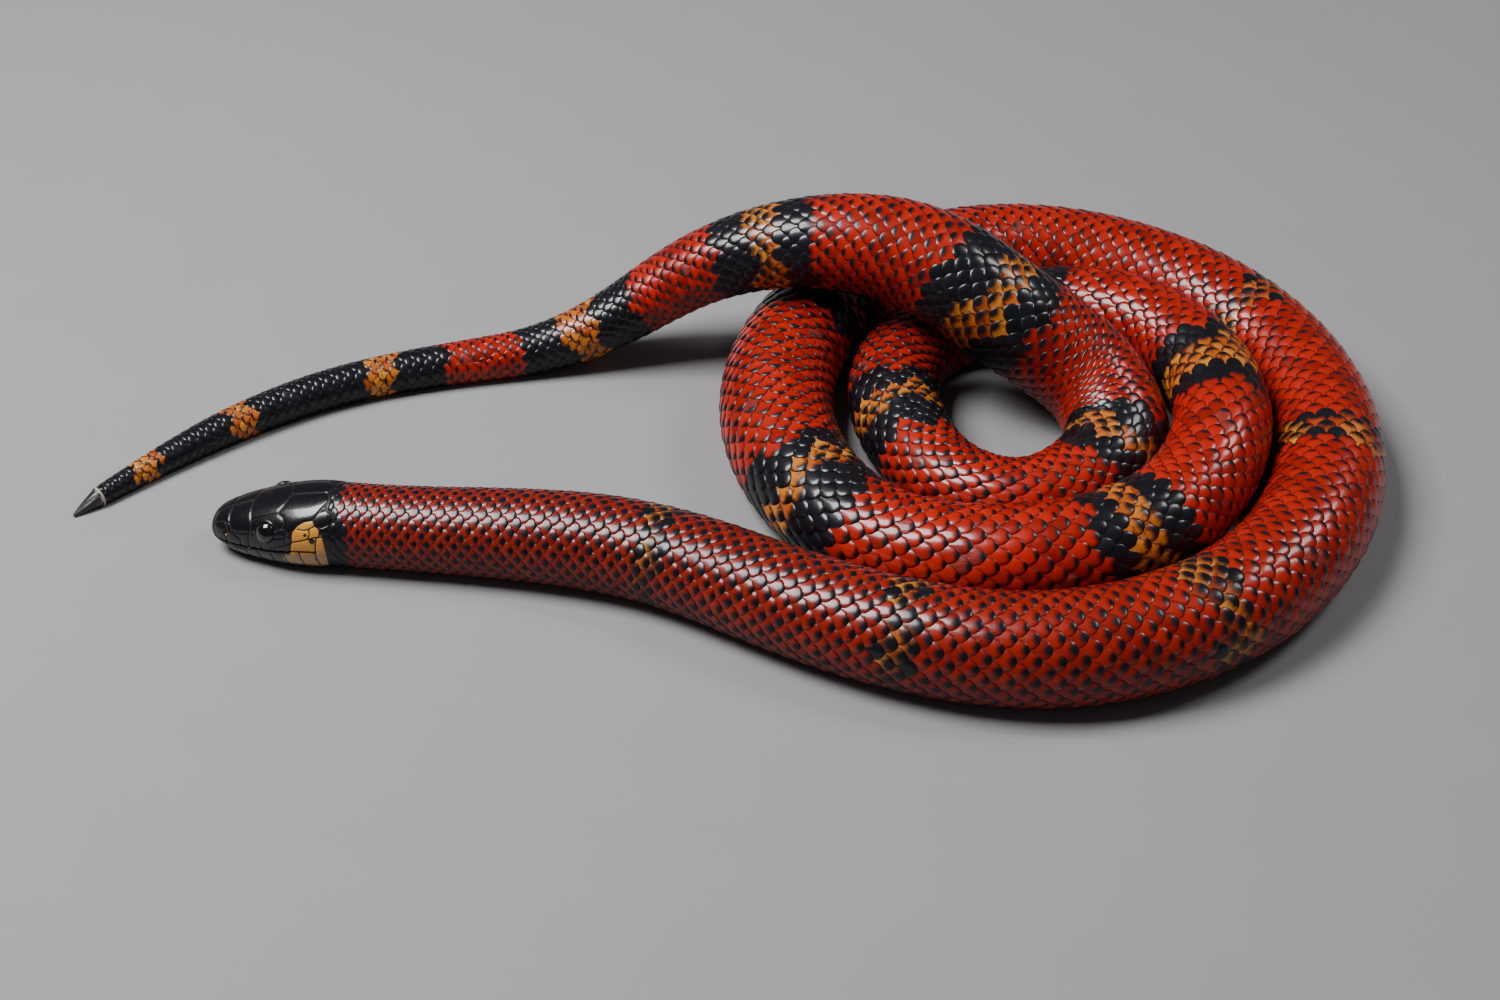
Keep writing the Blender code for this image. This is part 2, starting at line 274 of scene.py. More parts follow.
# %% [markdown]
# ## A place on the snake
#
# With the table, a place on the snake is a distance behind the snout, an angle round the body and a
# height off it. The body's section is an oval and the head's is a rounded box. One formula gives both,
# with a power of 2 for the oval and a little more for the box. Under the flat of the belly the section
# is cut level, and under the snout the chin draws back.

# %% Reading the table
TINY = 1e-9


def along(distance):
    """The table's columns, read at distances behind the snout."""
    step = np.clip(np.asarray(distance, float) / TABLE_STEP, 0, len(TABLE) - 1.001)
    low = step.astype(int)
    part = (step - low)[..., None]
    row = TABLE[low] * (1 - part) + TABLE[low + 1] * part
    return row[..., 0:3], row[..., 3:6], row[..., 6:9], row[..., 9:12], *np.moveaxis(row[..., 12:], -1, 0)


def signed_power(value, power):
    """A power that keeps the value's sign."""
    return np.sign(value) * np.abs(value) ** power


def on_body(distance, degrees, lift=0.0):
    """Places on the snake: a distance behind the snout, an angle up from its own left side, and a
    height off the surface of the solids."""
    distance, degrees, lift = np.broadcast_arrays(distance, degrees, lift)
    place, ahead, own_left, up, wide, tall, middle, chin, power = along(distance)
    angle = np.radians(degrees)
    out = wide * signed_power(np.cos(angle), 2 / power)
    height = middle + tall * signed_power(np.sin(angle), 2 / power)
    across = signed_power(np.cos(angle), 2 - 2 / power) / np.maximum(wide, 0.01)
    upward = signed_power(np.sin(angle), 2 - 2 / power) / np.maximum(tall, 0.01)
    size = np.maximum(np.hypot(across, upward), TINY)
    flat = height < chin
    height = np.where(flat, chin, height)
    across = np.where(flat, 0, across / size)
    upward = np.where(flat, -1, upward / size)
    below = np.clip((head_mouth(np.sqrt(np.minimum(distance, HEAD_LENGTH))) - height) / 2, 0, 1)
    recede = CHIN_BACK * np.clip(1 - distance / CHIN_REACH, 0, 1) * below
    place = place + ahead * recede[..., None]
    return place + own_left * (out + across * lift)[..., None] + up * (height + upward * lift)[..., None]


# %% [markdown]
# ## Where the line lies in the model
#
# The solids stand with the middle of their box over the origin, while the line above is measured from
# the middle of the coil. One thing is known exactly in both: the left eye, a ball whose box has the
# ball's own middle. The difference of the two places is the shift from one to the other.

# %% The shift, and the camera
EYE_BACK, EYE_OUT, EYE_HEIGHT = 14.2, 6.75, 8.8
place, _, own_left, up, *_ = along(EYE_BACK)
eye_on_line = place + own_left * EYE_OUT + up * EYE_HEIGHT
eye_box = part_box("eye_left")
SHIFT = np.array((eye_box[0] + eye_box[1]) / 2) / MM - eye_on_line
TABLE[:, 0:3] += SHIFT
print("the coil's middle stands at", SHIFT.round(2), "mm")

camera = bpy.data.objects.new("camera", bpy.data.cameras.new("camera"))
bpy.context.scene.collection.objects.link(camera)
camera.location = Vector(CAMERA_FROM_COIL) * MM + Vector((SHIFT[0], SHIFT[1], 0)) * MM
camera.rotation_euler = (math.radians(90 - CAMERA_DOWN), 0, 0)
camera.data.lens = LENS
camera.data.sensor_width = SENSOR
bpy.context.scene.camera = camera

# %% [markdown]
# ## Meshes from arrays
#
# The snake needs several thousand scales. Adding them one by one through Blender's operators would
# take an hour, so points and faces are worked out as arrays and handed over in one go. Numbers that a
# material will need later, such as how far along its scale a point lies, are stored on the mesh as
# attributes, and travel with it. The solids' sides are made of flat faces, which lie a tenth of a
# millimetre inside the true curve, so points are also kept inside the solids' box.

# %% One helper that makes a mesh
SOLID_BOX = np.array(solid_box) / MM
SHARP_ANGLE = 60.0  # degrees between faces, over which the edge isn't shaded smooth


def mesh_object(name, points, face_groups, attributes):
    """An object from points in millimetres, groups of faces with equal corner counts, and numbers
    stored per point."""
    mesh = bpy.data.meshes.new(name)
    points = np.clip(points, *SOLID_BOX)
    groups = [np.asarray(g, np.int32) for g in face_groups if len(g)]
    sizes = np.concatenate([np.full(len(g), g.shape[1]) for g in groups])
    corners = np.concatenate([g.ravel() for g in groups])
    mesh.vertices.add(len(points))
    mesh.vertices.foreach_set("co", (points * MM).astype(np.float32).ravel())
    mesh.loops.add(len(corners))
    mesh.loops.foreach_set("vertex_index", corners)
    mesh.polygons.add(len(sizes))
    mesh.polygons.foreach_set("loop_start", np.concatenate([[0], np.cumsum(sizes)[:-1]]).astype(np.int32))
    mesh.update(calc_edges=True)
    for key, values in attributes.items():
        made = mesh.attributes.new(key, "FLOAT", "POINT")
        made.data.foreach_set("value", np.asarray(values, np.float32).ravel())
    mesh.shade_smooth()
    mesh.set_sharp_from_angle(angle=math.radians(SHARP_ANGLE))
    made = bpy.data.objects.new(name, mesh)
    bpy.context.scene.collection.objects.link(made)
    print(f"{name}: {len(points)} points, {int((sizes - 2).sum())} triangles")
    return made


def add_bake_map(made, places):
    """A UV map from one place per corner of a face."""
    layer = made.data.uv_layers.new(name="OFBake")
    layer.data.foreach_set("uv", np.concatenate(places).astype(np.float32).ravel())


# %% [markdown]
# ## Shader arithmetic
#
# Masks in a material are sums and products of other masks. Written as nodes they are hard to read, so
# a small class wraps a node's output and lets Python's own operators add the Math nodes. A loop adds
# each operator twice, the second time for sums such as 1 - mask, where the number comes first.
# Colours go through a Mix node instead, because a Math node would turn them grey.

# %% The two classes that build materials
class Value:
    """A number in a material that Python's operators work on."""

    def __init__(self, finish, socket):
        self.finish, self.socket = finish, socket

    def maths(self, operation, first, second=0.0):
        return self.finish.node("ShaderNodeMath", {"operation": operation}, {0: first, 1: second})

    def size(self):
        return self.maths("ABSOLUTE", self)

    def greater(self, other):
        return self.maths("MAXIMUM", self, other)


OPERATORS = {"add": "ADD", "sub": "SUBTRACT", "mul": "MULTIPLY", "truediv": "DIVIDE", "pow": "POWER"}
for sign, kind in OPERATORS.items():
    setattr(Value, f"__{sign}__", lambda self, other, kind=kind: self.maths(kind, self, other))
    setattr(Value, f"__r{sign}__", lambda self, other, kind=kind: self.maths(kind, other, self))


def draw_stops(ramp, stops):
    """Gives a ramp an eased curve through (place, height)."""
    ramp.interpolation = "EASE"
    while len(ramp.elements) < len(stops):
        ramp.elements.new(0.5)
    for element, (place, height) in zip(ramp.elements, stops):
        element.position = place
        element.color = (height, height, height, 1)


class Finish:
    """A material under construction, round one Principled shader."""

    def __init__(self, name, **constants):
        self.material = bpy.data.materials.new(name)
        self.material.use_nodes = True
        self.tree = self.material.node_tree
        self.shader = self.tree.nodes["Principled BSDF"]
        for key, value in constants.items():
            self.shader.inputs[key.replace("_", " ")].default_value = value

    def node(self, kind, settings, sockets, output=0):
        """A node of any kind: its settings first, then its sockets' values or links."""
        made = self.tree.nodes.new(kind)
        for key, value in settings.items():
            if key == "stops":
                draw_stops(made.color_ramp, value)
            else:
                setattr(made, key, value)
        for key, value in sockets.items():
            self.feed(made.inputs[key], value)
        return Value(self, made.outputs[output])

    def feed(self, socket, value):
        if isinstance(value, Value):
            self.tree.links.new(value.socket, socket)
        else:
            socket.default_value = value

    def stored(self, key):
        """A number that the mesh carries."""
        return self.node("ShaderNodeAttribute", {"attribute_name": key}, {}, "Fac")

    def noise(self, scale, detail=2.0, stretch=(1, 1, 1)):
        """Cloudy noise from 0 to 1, in the object's own space. Scale is in repeats a metre."""
        where = self.node("ShaderNodeTexCoord", {}, {}, "Object")
        if stretch != (1, 1, 1):
            where = self.node("ShaderNodeMapping", {}, {"Vector": where, "Scale": stretch})
        return self.node("ShaderNodeTexNoise", {}, {"Vector": where, "Scale": scale, "Detail": detail})

    def step(self, value, low, high):
        """A soft step from 0 at low to 1 at high."""
        settings = {"interpolation_type": "SMOOTHSTEP"}
        return self.node("ShaderNodeMapRange", settings, {"Value": value, "From Min": low, "From Max": high})

    def curve(self, value, stops):
        """A number that follows a curve drawn by stops of (place, height)."""
        return self.node("ShaderNodeValToRGB", {"stops": stops}, {0: value})

    def mix(self, share, first, second):
        """The first colour where share is 0, and the second where it is 1."""
        colours = [c if isinstance(c, Value) else (*c, 1.0) for c in (first, second)]
        sockets = {0: share, 6: colours[0], 7: colours[1]}
        return self.node("ShaderNodeMix", {"data_type": "RGBA"}, sockets, 2)

    def bump(self, height, distance, strength):
        return self.node("ShaderNodeBump", {}, {"Height": height, "Distance": distance, "Strength": strength})

    def connect(self, **links):
        for key, value in links.items():
            self.feed(self.shader.inputs[key.replace("_", " ")], value)
        return self.material


# %% [markdown]
# ## The markings
#
# A milk snake is red, crossed by bands. Near the head they are thin and yellow-orange with hardly any
# black. Towards the tail each is black, then orange, then black, and the black grows until no red is
# left between them. A real scale takes one colour as a whole, so the markings are worked out once for
# each scale's middle, and the skin underneath reads the same function. The numbers are distances
# behind the snout: where black starts, where orange starts and ends, and where black ends. The last
# three bands share their black. The collar is the edge of the head's black at angles round the neck.

# %% Bands and collar
BANDS = [
    (99, 99.5, 105, 105.5),
    (156, 156.5, 162.5, 163),
    (219.5, 220, 227, 227.5),
    (283, 283.5, 290, 290.5),
    (336, 336.5, 344, 344.5),
    (461, 465, 471, 478),
    (528, 535, 541.5, 551),
    (601.5, 607.5, 614.5, 622.5),
    (660, 666, 676, 682.5),
    (717, 726, 733, 742),
    (785, 790.5, 797, 804.5),
    (848.5, 855.5, 861, 867.5),
    (906.5, 914, 920.5, 928),
    (956, 963.5, 970.5, 978.5),
    (1001, 1012, 1022, 1035.5),
    (1055, 1066, 1073.5, 1102),
    (1102, 1102, 1108.5, 1128),
    (1128, 1128, 1133.5, 1160),
]
RAGGED = 1.8  # how far a band's edge wanders
BAND_SEED = 11
DUSK_REACH = 6.0  # how far from a black band scales have longer black tips
COLLAR = [(-180, 33), (0, 33), (40, 32.5), (70, 30.5), (90, 30)]
COLLAR += [(110, 30.5), (140, 32.5), (180, 33), (360, 33)]
WAVES = 5


def wander(distance, degrees, seed):
    """A slow wave over the body, between about -1 and 1."""
    draw = np.random.default_rng(seed)
    total = np.zeros(np.broadcast(distance, degrees).shape)
    for _ in range(WAVES):
        turns, pace, phase = draw.integers(1, 5), draw.uniform(0.08, 0.35), draw.uniform(0, 2 * math.pi)
        total += np.sin(np.radians(degrees) * turns + distance * pace + phase)
    return total / 3


def markings(distance, degrees):
    """How orange and how black the snake is at places on it, and how near a black band, from 0 to 1."""
    where = distance + RAGGED * wander(distance, degrees, BAND_SEED)
    orange, black, dusk = np.zeros(where.shape), np.zeros(where.shape), np.zeros(where.shape)
    for black_start, orange_start, orange_end, black_end in BANDS:
        thick = min(black_end - black_start - orange_end + orange_start, DUSK_REACH)
        outside = np.maximum(black_start - where, where - black_end)
        dusk = np.maximum(dusk, (1 - eased(outside, 0, DUSK_REACH)) * thick / DUSK_REACH)
        orange = np.where((where > orange_start) & (where < orange_end), 1.0, orange)
        black = np.where((where > black_start) & (where < black_end), 1.0, black)
    black = np.where(orange > 0, 0.0, black)
    collar = np.interp(degrees, *zip(*COLLAR))
    return orange, np.where(distance < collar, 1.0, black), dusk


print(len(BANDS), "bands")

# %% [markdown]
# ## Rows of scales
#
# Counted over the back, a milk snake has about 23 rows, and each row's scales sit half a scale
# further back than its neighbours', like bricks. Towards the tail the body gets thin faster than the
# scales get small, so rows come to an end in pairs, which keeps the bricks' order. Each row has a
# weight, which falls to nothing where the row ends, and the rows share the girth by their weights.
# The pitch is the length that shows of a scale, and grows from 2 mm at the nape to 4.7 mm on the coil.

# %% Where each row runs
SIDE_ROWS = 11
BELLY_EDGE = -38.0  # degrees: the belly's plates turn up the sides as far as this
ROW_ENDS = {8: 990, 9: 990, 5: 1020, 6: 1020, 3: 1052, 4: 1052, 7: 1122, 10: 1122}
ROW_FADE = 14.0
PITCHES = [(0, 2.0), (27, 2.3), (45, 2.85), (80, 3.4), (120, 3.9), (178, 4.35), (300, 4.5), (570, 4.7)]
PITCHES += [(800, 4.4), (860, 4), (920, 3.7), (980, 3.5), (1050, 3), (1100, 2.6), (1145, 1.8), (1157, 1.7)]
SCALE_DEPTH = 0.104  # of the pitch: how far the skin lies under the solids' surface

rows = np.arange(-SIDE_ROWS, SIDE_ROWS + 1)
weights = np.ones((len(rows), len(DISTANCE)))
for row, end in ROW_ENDS.items():
    weights[np.abs(rows) == row] = 1 - eased(DISTANCE, end - ROW_FADE, end)
edges = np.vstack([np.zeros(len(DISTANCE)), np.cumsum(weights, axis=0)])
edges = BELLY_EDGE + (180 - 2 * BELLY_EDGE) * edges / edges[-1]
ROW_MIDDLE = (edges[1:] + edges[:-1]) / 2
ROW_WIDTH = edges[1:] - edges[:-1]
PITCH = steady_line(*zip(*PITCHES))(DISTANCE)
RING = np.concatenate([[0], np.cumsum(TABLE_STEP / PITCH)[:-1]])
DEPTH = PITCH * SCALE_DEPTH
print(f"scales: {len(rows)} rows, {RING[-1]:.0f} rings")


def read(column, distance):
    """A column of numbers along the body, read at distances behind the snout."""
    return np.interp(distance, DISTANCE, column)


def read_row(table, row, distance):
    """One number for each row and distance, from a table with a line for each row."""
    step = np.clip(distance / TABLE_STEP, 0, len(DISTANCE) - 1).astype(int)
    return table[row, step]


# %% [markdown]
# ## The skin
#
# One skin runs from the snout to the tail's cap. On the body it hardly shows: it is the dark red
# between the scales, its darkness painted shade, and it lies under them by their depth. On the head it
# is everything, because a milk snake's head has large flat plates instead of scales. So the rings are
# close together on the head, about a sixth of a millimetre, and far apart behind it. Where the two
# meet, under the first scales, six of the head's columns share one of the body's.

# %% Rings and columns of the skin
HEAD_COLUMNS = 360
BODY_COLUMNS = 60
HEAD_GRAIN = 0.175
BODY_GRAIN = 3.0
HEAD_SKIN_END = 33.0

profile = np.concatenate([[0], np.cumsum(np.hypot(TABLE_STEP, np.diff(HALF_WIDTH)))])
profile_end = read(profile, HEAD_SKIN_END)
head_rings = np.interp(np.arange(HEAD_GRAIN, profile_end, HEAD_GRAIN), profile, DISTANCE)
body_rings = np.arange(HEAD_SKIN_END + BODY_GRAIN / 2, LENGTH - SPINE_LENGTH, BODY_GRAIN)
head_degrees = np.arange(HEAD_COLUMNS) * 360 / HEAD_COLUMNS
body_degrees = np.arange(BODY_COLUMNS) * 360 / BODY_COLUMNS
head_places = on_body(head_rings[:, None], head_degrees[None, :])
print(f"skin: {len(head_rings)} rings on the head, {len(body_rings)} behind it")

# %% [markdown]
# ## The plates of the head
#
# A plate's edge is a fine groove, and the plate swells a little between its grooves. So it is enough
# to draw the seams. Each is a short chain of places, given as a distance behind the snout and degrees
# up from the left side, where 90 is the middle of the crown. They are the seams of the species: a
# rostral plate at the tip, pairs of internasals and prefrontals, one frontal, a supraocular over each
# eye, a pair of large parietals, and rows of lip plates. The right side mirrors the left.

# %% The seams
MIDLINE_SEAMS = [
    [(1.2, 90), (5.3, 90)],
    [(5.3, 90), (10.4, 90)],
    [(19.4, 90), (27.8, 90)],
    [(1.8, -90), (18, -90)],
]
SIDE_SEAMS = [
    [(1.2, 90), (1.3, 60), (1.6, 30), (2.0, 5), (2.4, -20)],
    [(1.45, 46), (3.5, 50), (5.8, 48)],
    [(5.3, 90), (5.5, 70), (5.8, 48), (6.2, 28)],
    [(6.2, 28), (7.6, 18), (8.8, 9), (8.7, -8)],
    [(4.9, 49), (5.1, 20), (5.2, -12)],
    [(10.4, 90), (10.8, 70), (11.3, 50), (11.0, 27)],
    [(6.2, 28), (8.6, 26), (11.0, 27), (12.1, 26)],
    [(11.0, 27), (10.7, 8), (10.9, -5)],
    [(11.3, 50), (14.2, 56), (17.5, 62)],
    [(17.5, 62), (18.6, 75), (19.4, 90)],
    [(17.5, 62), (18.9, 54), (19.3, 46), (19.0, 37)],
    [(16.9, 30), (19.0, 37)],
    [(16.6, 18), (19.6, 22)],
    [(19.0, 37), (19.8, 28), (19.7, 10)],
    [(19.8, 28), (20.6, 27), (21.5, 32), (22.6, 41), (23.8, 46), (25.9, 48)],
    [(25.9, 48), (26.9, 60), (28.6, 76), (27.8, 90)],
    [(2.2, -12), (5.3, -12), (8.7, -8), (10.9, -5), (12.4, 1)],
    [(16.0, 2), (19.7, 10), (21.3, 14), (23.6, 17), (26.4, 22), (28.4, 24)],
    [(21.3, 14), (21.2, 24), (21.5, 32)],
    [(22.6, 35), (24.2, 33), (25.2, 35), (26.4, 39)],
    [(25.0, 19), (25.4, 27), (25.2, 35)],
    [(25.9, 48), (26.3, 43), (26.4, 39)],
    [(26.4, 39), (27.4, 36), (27.6, 28), (27.3, 22)],
    [(26.9, 60), (28.3, 62), (29.8, 58), (30.4, 50), (29.7, 42), (28.4, 38), (27.4, 36)],
    [(27.6, 28), (29.0, 27), (30.2, 30)],
    [(28.5, 24), (28.7, 10), (28.9, -5), (28.6, -30)],
    [(28.6, 76), (28.4, 64)],
    [(1.8, -90), (2.0, -60), (2.5, -40), (2.5, -28)],
    [(2.5, -40), (5.0, -42), (9.0, -42), (14.0, -38), (19.0, -31), (22.4, -27), (26.0, -29), (28.6, -31)],
    [(9.5, -90), (9.2, -60), (9.0, -42)],
    [(16.5, -90), (16.0, -62), (14.5, -38)],
]
LABIALS = [(4.8, -12.5), (7.6, -9.5), (10.6, -5), (13.6, 4), (16.9, 3.5), (20.6, 12), (26.4, 22)]
LABIALS += [(4.4, -41), (6.8, -42), (9.6, -41.5), (12.6, -39), (15.8, -36), (18.9, -31), (22.6, -27)]
LABIALS += [(26.2, -29)]  # seams from the mouth to here: above it first, and then under it
LABIAL_SLANT = 0.5
MOUTH_END = 26.6
SEAM_GRAIN = 0.05


def mouth_degrees(distance):
    """The angle of the line of the mouth."""
    _, _, _, _, _, tall, middle, _, power = along(distance)
    level = (head_mouth(np.sqrt(np.minimum(distance, HEAD_LENGTH))) - middle) / tall
    level = np.clip(level, -0.75, 0.75)
    return np.degrees(np.sign(level) * np.arcsin(np.abs(level) ** (power / 2)))


def chain(corners):
    """Places on the head along a chain of (distance, degrees)."""
    corners = np.array(corners, float)
    far = np.concatenate([[0], np.cumsum(np.hypot(np.diff(corners[:, 0]), np.diff(corners[:, 1]) * 0.15))])
    even = np.arange(0, far[-1], SEAM_GRAIN)
    return on_body(np.interp(even, far, corners[:, 0]), np.interp(even, far, corners[:, 1]))


def mirrored(corners):
    return [(distance, 180 - degrees) for distance, degrees in corners]


def nearest(points, places):
    """The distance from each place to the nearest of the points."""
    tree = kdtree.KDTree(len(points))
    for index, point in enumerate(points):
        tree.insert(point, index)
    tree.balance()
    flat = places.reshape(-1, 3)
    return np.array([tree.find(p)[2] for p in flat]).reshape(places.shape[:-1])


seams = [chain(c) for c in MIDLINE_SEAMS]
for distance, turn in LABIALS:
    lip = float(mouth_degrees(np.array(distance)))
    SIDE_SEAMS.append([(distance, lip), (distance + LABIAL_SLANT, turn)])
for corners in SIDE_SEAMS:
    seams += [chain(corners), chain(mirrored(corners))]
lip_at = np.arange(0.8, MOUTH_END, SEAM_GRAIN)
lip_turn = mouth_degrees(lip_at)
lip_line = np.concatenate([on_body(lip_at, lip_turn), on_body(lip_at, 180 - lip_turn)])
seam_gap = nearest(np.concatenate(seams), head_places)
mouth_gap = nearest(lip_line, head_places)
print("seams:", len(seams), "chains; nearest place", round(float(seam_gap.min()), 3), "mm off")

# %% [markdown]
# ## Eyes and nostrils in the skin
#
# A snake has no lids. A clear scale covers the eye, in a ring of small plates, so the skin makes a
# shallow round hollow with a slightly raised rim, and the eye is set into it as its own piece. The
# nostril is a small round pit. Both are found by their distance from an axis that stands square on
# the head, so that they are round when looked at along it.

# %% Axes of the eyes and nostrils
ORBIT = 2.3
EYE_DEGREES = 29.0
EYE_TILT = 0.12
EYE_FOOT_BACK = 14.9
NOSTRIL_BACK, NOSTRIL_DEGREES = 5.0, 21.0
NOSTRIL_RADIUS = 0.72


def outward(distance, degrees):
    """The direction straight out of the head."""
    small = 0.05
    forward = on_body(distance + small, degrees) - on_body(distance - small, degrees)
    round_it = on_body(distance, degrees + small) - on_body(distance, degrees - small)
    out = np.cross(forward, round_it)
    out /= np.linalg.norm(out)
    middle = along(distance)[0] + along(distance)[3] * along(distance)[6]
    return out if np.dot(out, on_body(distance, degrees) - middle) > 0 else -out


def from_axis(places, foot, axis):
    """How far places lie from an axis, and how far out along it."""
    apart = places - foot
    out = apart @ axis
    return np.linalg.norm(apart - out[..., None] * axis, axis=-1), out


def looking(distance, degrees):
    """The axis of an eye: straight out of the head, and tilted up a little."""
    axis = outward(distance, degrees) + EYE_TILT * along(distance)[3]
    return axis / np.linalg.norm(axis)


EYES, NOSTRILS = {}, []
for side, eye_turn, turn in (
    ("left", EYE_DEGREES, NOSTRIL_DEGREES),
    ("right", 180 - EYE_DEGREES, 180 - NOSTRIL_DEGREES),
):
    EYES[side] = on_body(EYE_FOOT_BACK, eye_turn), looking(EYE_FOOT_BACK, eye_turn)
    NOSTRILS.append((on_body(NOSTRIL_BACK, turn), outward(NOSTRIL_BACK, turn)))
print(f"left eye looks along {EYES['left'][1].round(2)}")

# %% [markdown]
# ## The relief of the head
#
# All of this is one height for each point of the head's skin: plates swell, seams and the mouth cut
# in, the eye's hollow drops and its rim rises, and behind the last plates the skin steps down to lie
# under the first scales. Points then move along the surface's own normal by that height.

# %% Height of every point of the head
SEAM_CUT = 0.12
SEAM_WIDTH = 0.17
PLATE_SWELL = 0.1
PLATE_REACH = 0.7
MOUTH_CUT = 0.5
MOUTH_WIDTH = 0.2
LIP_SWELL = 0.07
LIP_REACH = 0.9
ORBIT_DROP = 1.2
ORBIT_RIM = 0.1
ORBIT_INWARD = -2.5  # how far in along its axis the hollow of an eye reaches
NOSTRIL_DROP = 0.75
NOSTRIL_INWARD = -2.0
SCALES_START = [(-90, 28.6), (-30, 28.6), (-5, 28.9), (10, 28.7), (24, 28.5), (30, 29.4)]
SCALES_START += [(36, 29.0), (42, 29.7), (50, 30.4), (58, 29.8), (64, 28.4), (76, 28.7), (90, 27.9)]
SCALES_START += [(180 - degrees, start) for degrees, start in SCALES_START[-2::-1]]
STEP_DOWN = 0.35
TUCK = 0.3  # how far the first scales are pushed down where the last plates cover them
FLOOR_GAP = 0.02


def scales_start(degrees):
    return np.interp((np.asarray(degrees) + 90) % 360 - 90, *zip(*SCALES_START))


ring_at = np.broadcast_to(head_rings[:, None], head_places.shape[:-1])
turn_at = np.broadcast_to(head_degrees[None, :], head_places.shape[:-1])
on_head = 1 - eased(ring_at - scales_start(turn_at), 0.0, STEP_DOWN)
snout = eased(ring_at, 0.5, 4.0)
seam_mark = np.exp(-((seam_gap / SEAM_WIDTH) ** 4)) * on_head
mouth_mark = np.exp(-((mouth_gap / MOUTH_WIDTH) ** 2)) * on_head
relief = -SEAM_CUT * seam_mark - PLATE_SWELL * np.exp(-seam_gap / PLATE_REACH) * (0.4 + 0.6 * snout)
relief += LIP_SWELL * np.exp(-mouth_gap / LIP_REACH) * eased(mouth_gap, 0, 0.4)
relief -= MOUTH_CUT * mouth_mark
pit_mark = np.zeros(relief.shape)
for foot, axis in EYES.values():
    off, out = from_axis(head_places, foot, axis)
    inside = 1 - eased(off, ORBIT - 0.35, ORBIT)
    rim = np.exp(-(((off - ORBIT - 0.12) / 0.2) ** 2))
    hollow = relief * eased(off, ORBIT - 0.2, ORBIT + 0.3) - ORBIT_DROP * inside + ORBIT_RIM * rim
    relief = np.where(out > ORBIT_INWARD, hollow, relief)
for foot, axis in NOSTRILS:
    off, out = from_axis(head_places, foot, axis)
    inside = 1 - eased(off, NOSTRIL_RADIUS * 0.45, NOSTRIL_RADIUS * 1.15)
    inside = inside * (out > NOSTRIL_INWARD)
    relief -= NOSTRIL_DROP * inside
    pit_mark = np.maximum(pit_mark, inside)
relief = relief * on_head - read(DEPTH, ring_at) * (1 - on_head)

ahead_of = np.gradient(head_places, axis=0)
round_of = np.roll(head_places, -1, axis=1) - np.roll(head_places, 1, axis=1)
normals = np.cross(ahead_of, round_of)
normals /= np.maximum(np.linalg.norm(normals, axis=-1), TINY)[..., None]
middles = head_places.mean(axis=1, keepdims=True)
normals *= np.sign(((head_places - middles) * normals).sum(axis=(1, 2)))[:, None, None]
head_skin = head_places + normals * relief[..., None]
head_skin[..., 2] = np.maximum(head_skin[..., 2], FLOOR_GAP)
print(f"relief of the head: {relief.min():.2f} to {relief.max():.2f} mm")

# %% [markdown]
# ## Yellow on the cheek
#
# Behind each eye the head has one bright patch, yellow-orange on the temple and the upper lip, and
# paler cream on the lower lip. It follows the plates' edges, so its outline is a chain of seams.

# %% The cheek's patch
CHEEK = [(20.7, -3), (20.9, 8), (21.3, 14), (21.2, 24), (21.5, 32), (22.6, 41), (23.8, 46), (25.9, 48)]
CHEEK += [(26.3, 43), (26.4, 39), (27.4, 36), (27.6, 28), (28.0, 24), (28.5, 14), (28.8, -1)]
JAW = [(18.8, -6), (20.7, -3), (28.8, -1), (28.6, -31), (26.0, -31), (22.4, -27), (19.0, -24), (18.5, -14)]
SPOTS = [(25.9, 17, 0.75), (24.4, 26, 0.4), (26.3, -12, 0.35)]  # black spots: distance, degrees, radius


def inside_outline(distance, degrees, outline):
    """True where a place lies inside an outline, counting crossings as a map-maker would."""
    found = np.zeros(distance.shape, bool)
    for (d0, a0), (d1, a1) in zip(outline, outline[1:] + outline[:1]):
        crosses = (a0 > degrees) != (a1 > degrees)
        if a0 != a1:
            found ^= crosses & (distance < (d1 - d0) * (degrees - a0) / (a1 - a0) + d0)
    return found


left_turn = (turn_at + 180) % 360 - 180
left_turn = np.where(np.abs(left_turn) > 90, np.sign(left_turn) * 180 - left_turn, left_turn)


def share_inside(outline):
    """How much of the ground round each place lies inside an outline, which softens its edge."""
    steps = [(back, turn) for back in (-0.12, 0, 0.12) for turn in (-0.8, 0, 0.8)]
    return sum(inside_outline(ring_at + back, left_turn + turn, outline) for back, turn in steps) / len(steps)


cheek, jaw = share_inside(CHEEK), share_inside(JAW)
for distance, degrees, radius in SPOTS:
    for turn in (degrees, 180 - degrees):
        gap = np.linalg.norm(head_places - on_body(distance, turn), axis=-1)
        keep = eased(gap, radius * 0.7, radius * 1.2)
        cheek, jaw = cheek * keep, jaw * keep
print(f"the patches cover {100 * (cheek + jaw).mean():.1f} % of the head's points")

# %% [markdown]
# ## Joining head and body
#
# The rings are joined to one closed mesh, from a single point at the snout to a flat end under the
# tail's cap.

# %% The skin's mesh
body_grid_ring, body_grid_turn = np.meshgrid(body_rings, body_degrees, indexing="ij")
body_skin = on_body(body_grid_ring, body_grid_turn, -read(DEPTH, body_grid_ring))
snout_tip = along(0.0)[0] + along(0.0)[3] * HEAD_STATIONS[0][2]
points = np.concatenate([head_skin.reshape(-1, 3), body_skin.reshape(-1, 3), snout_tip[None]])


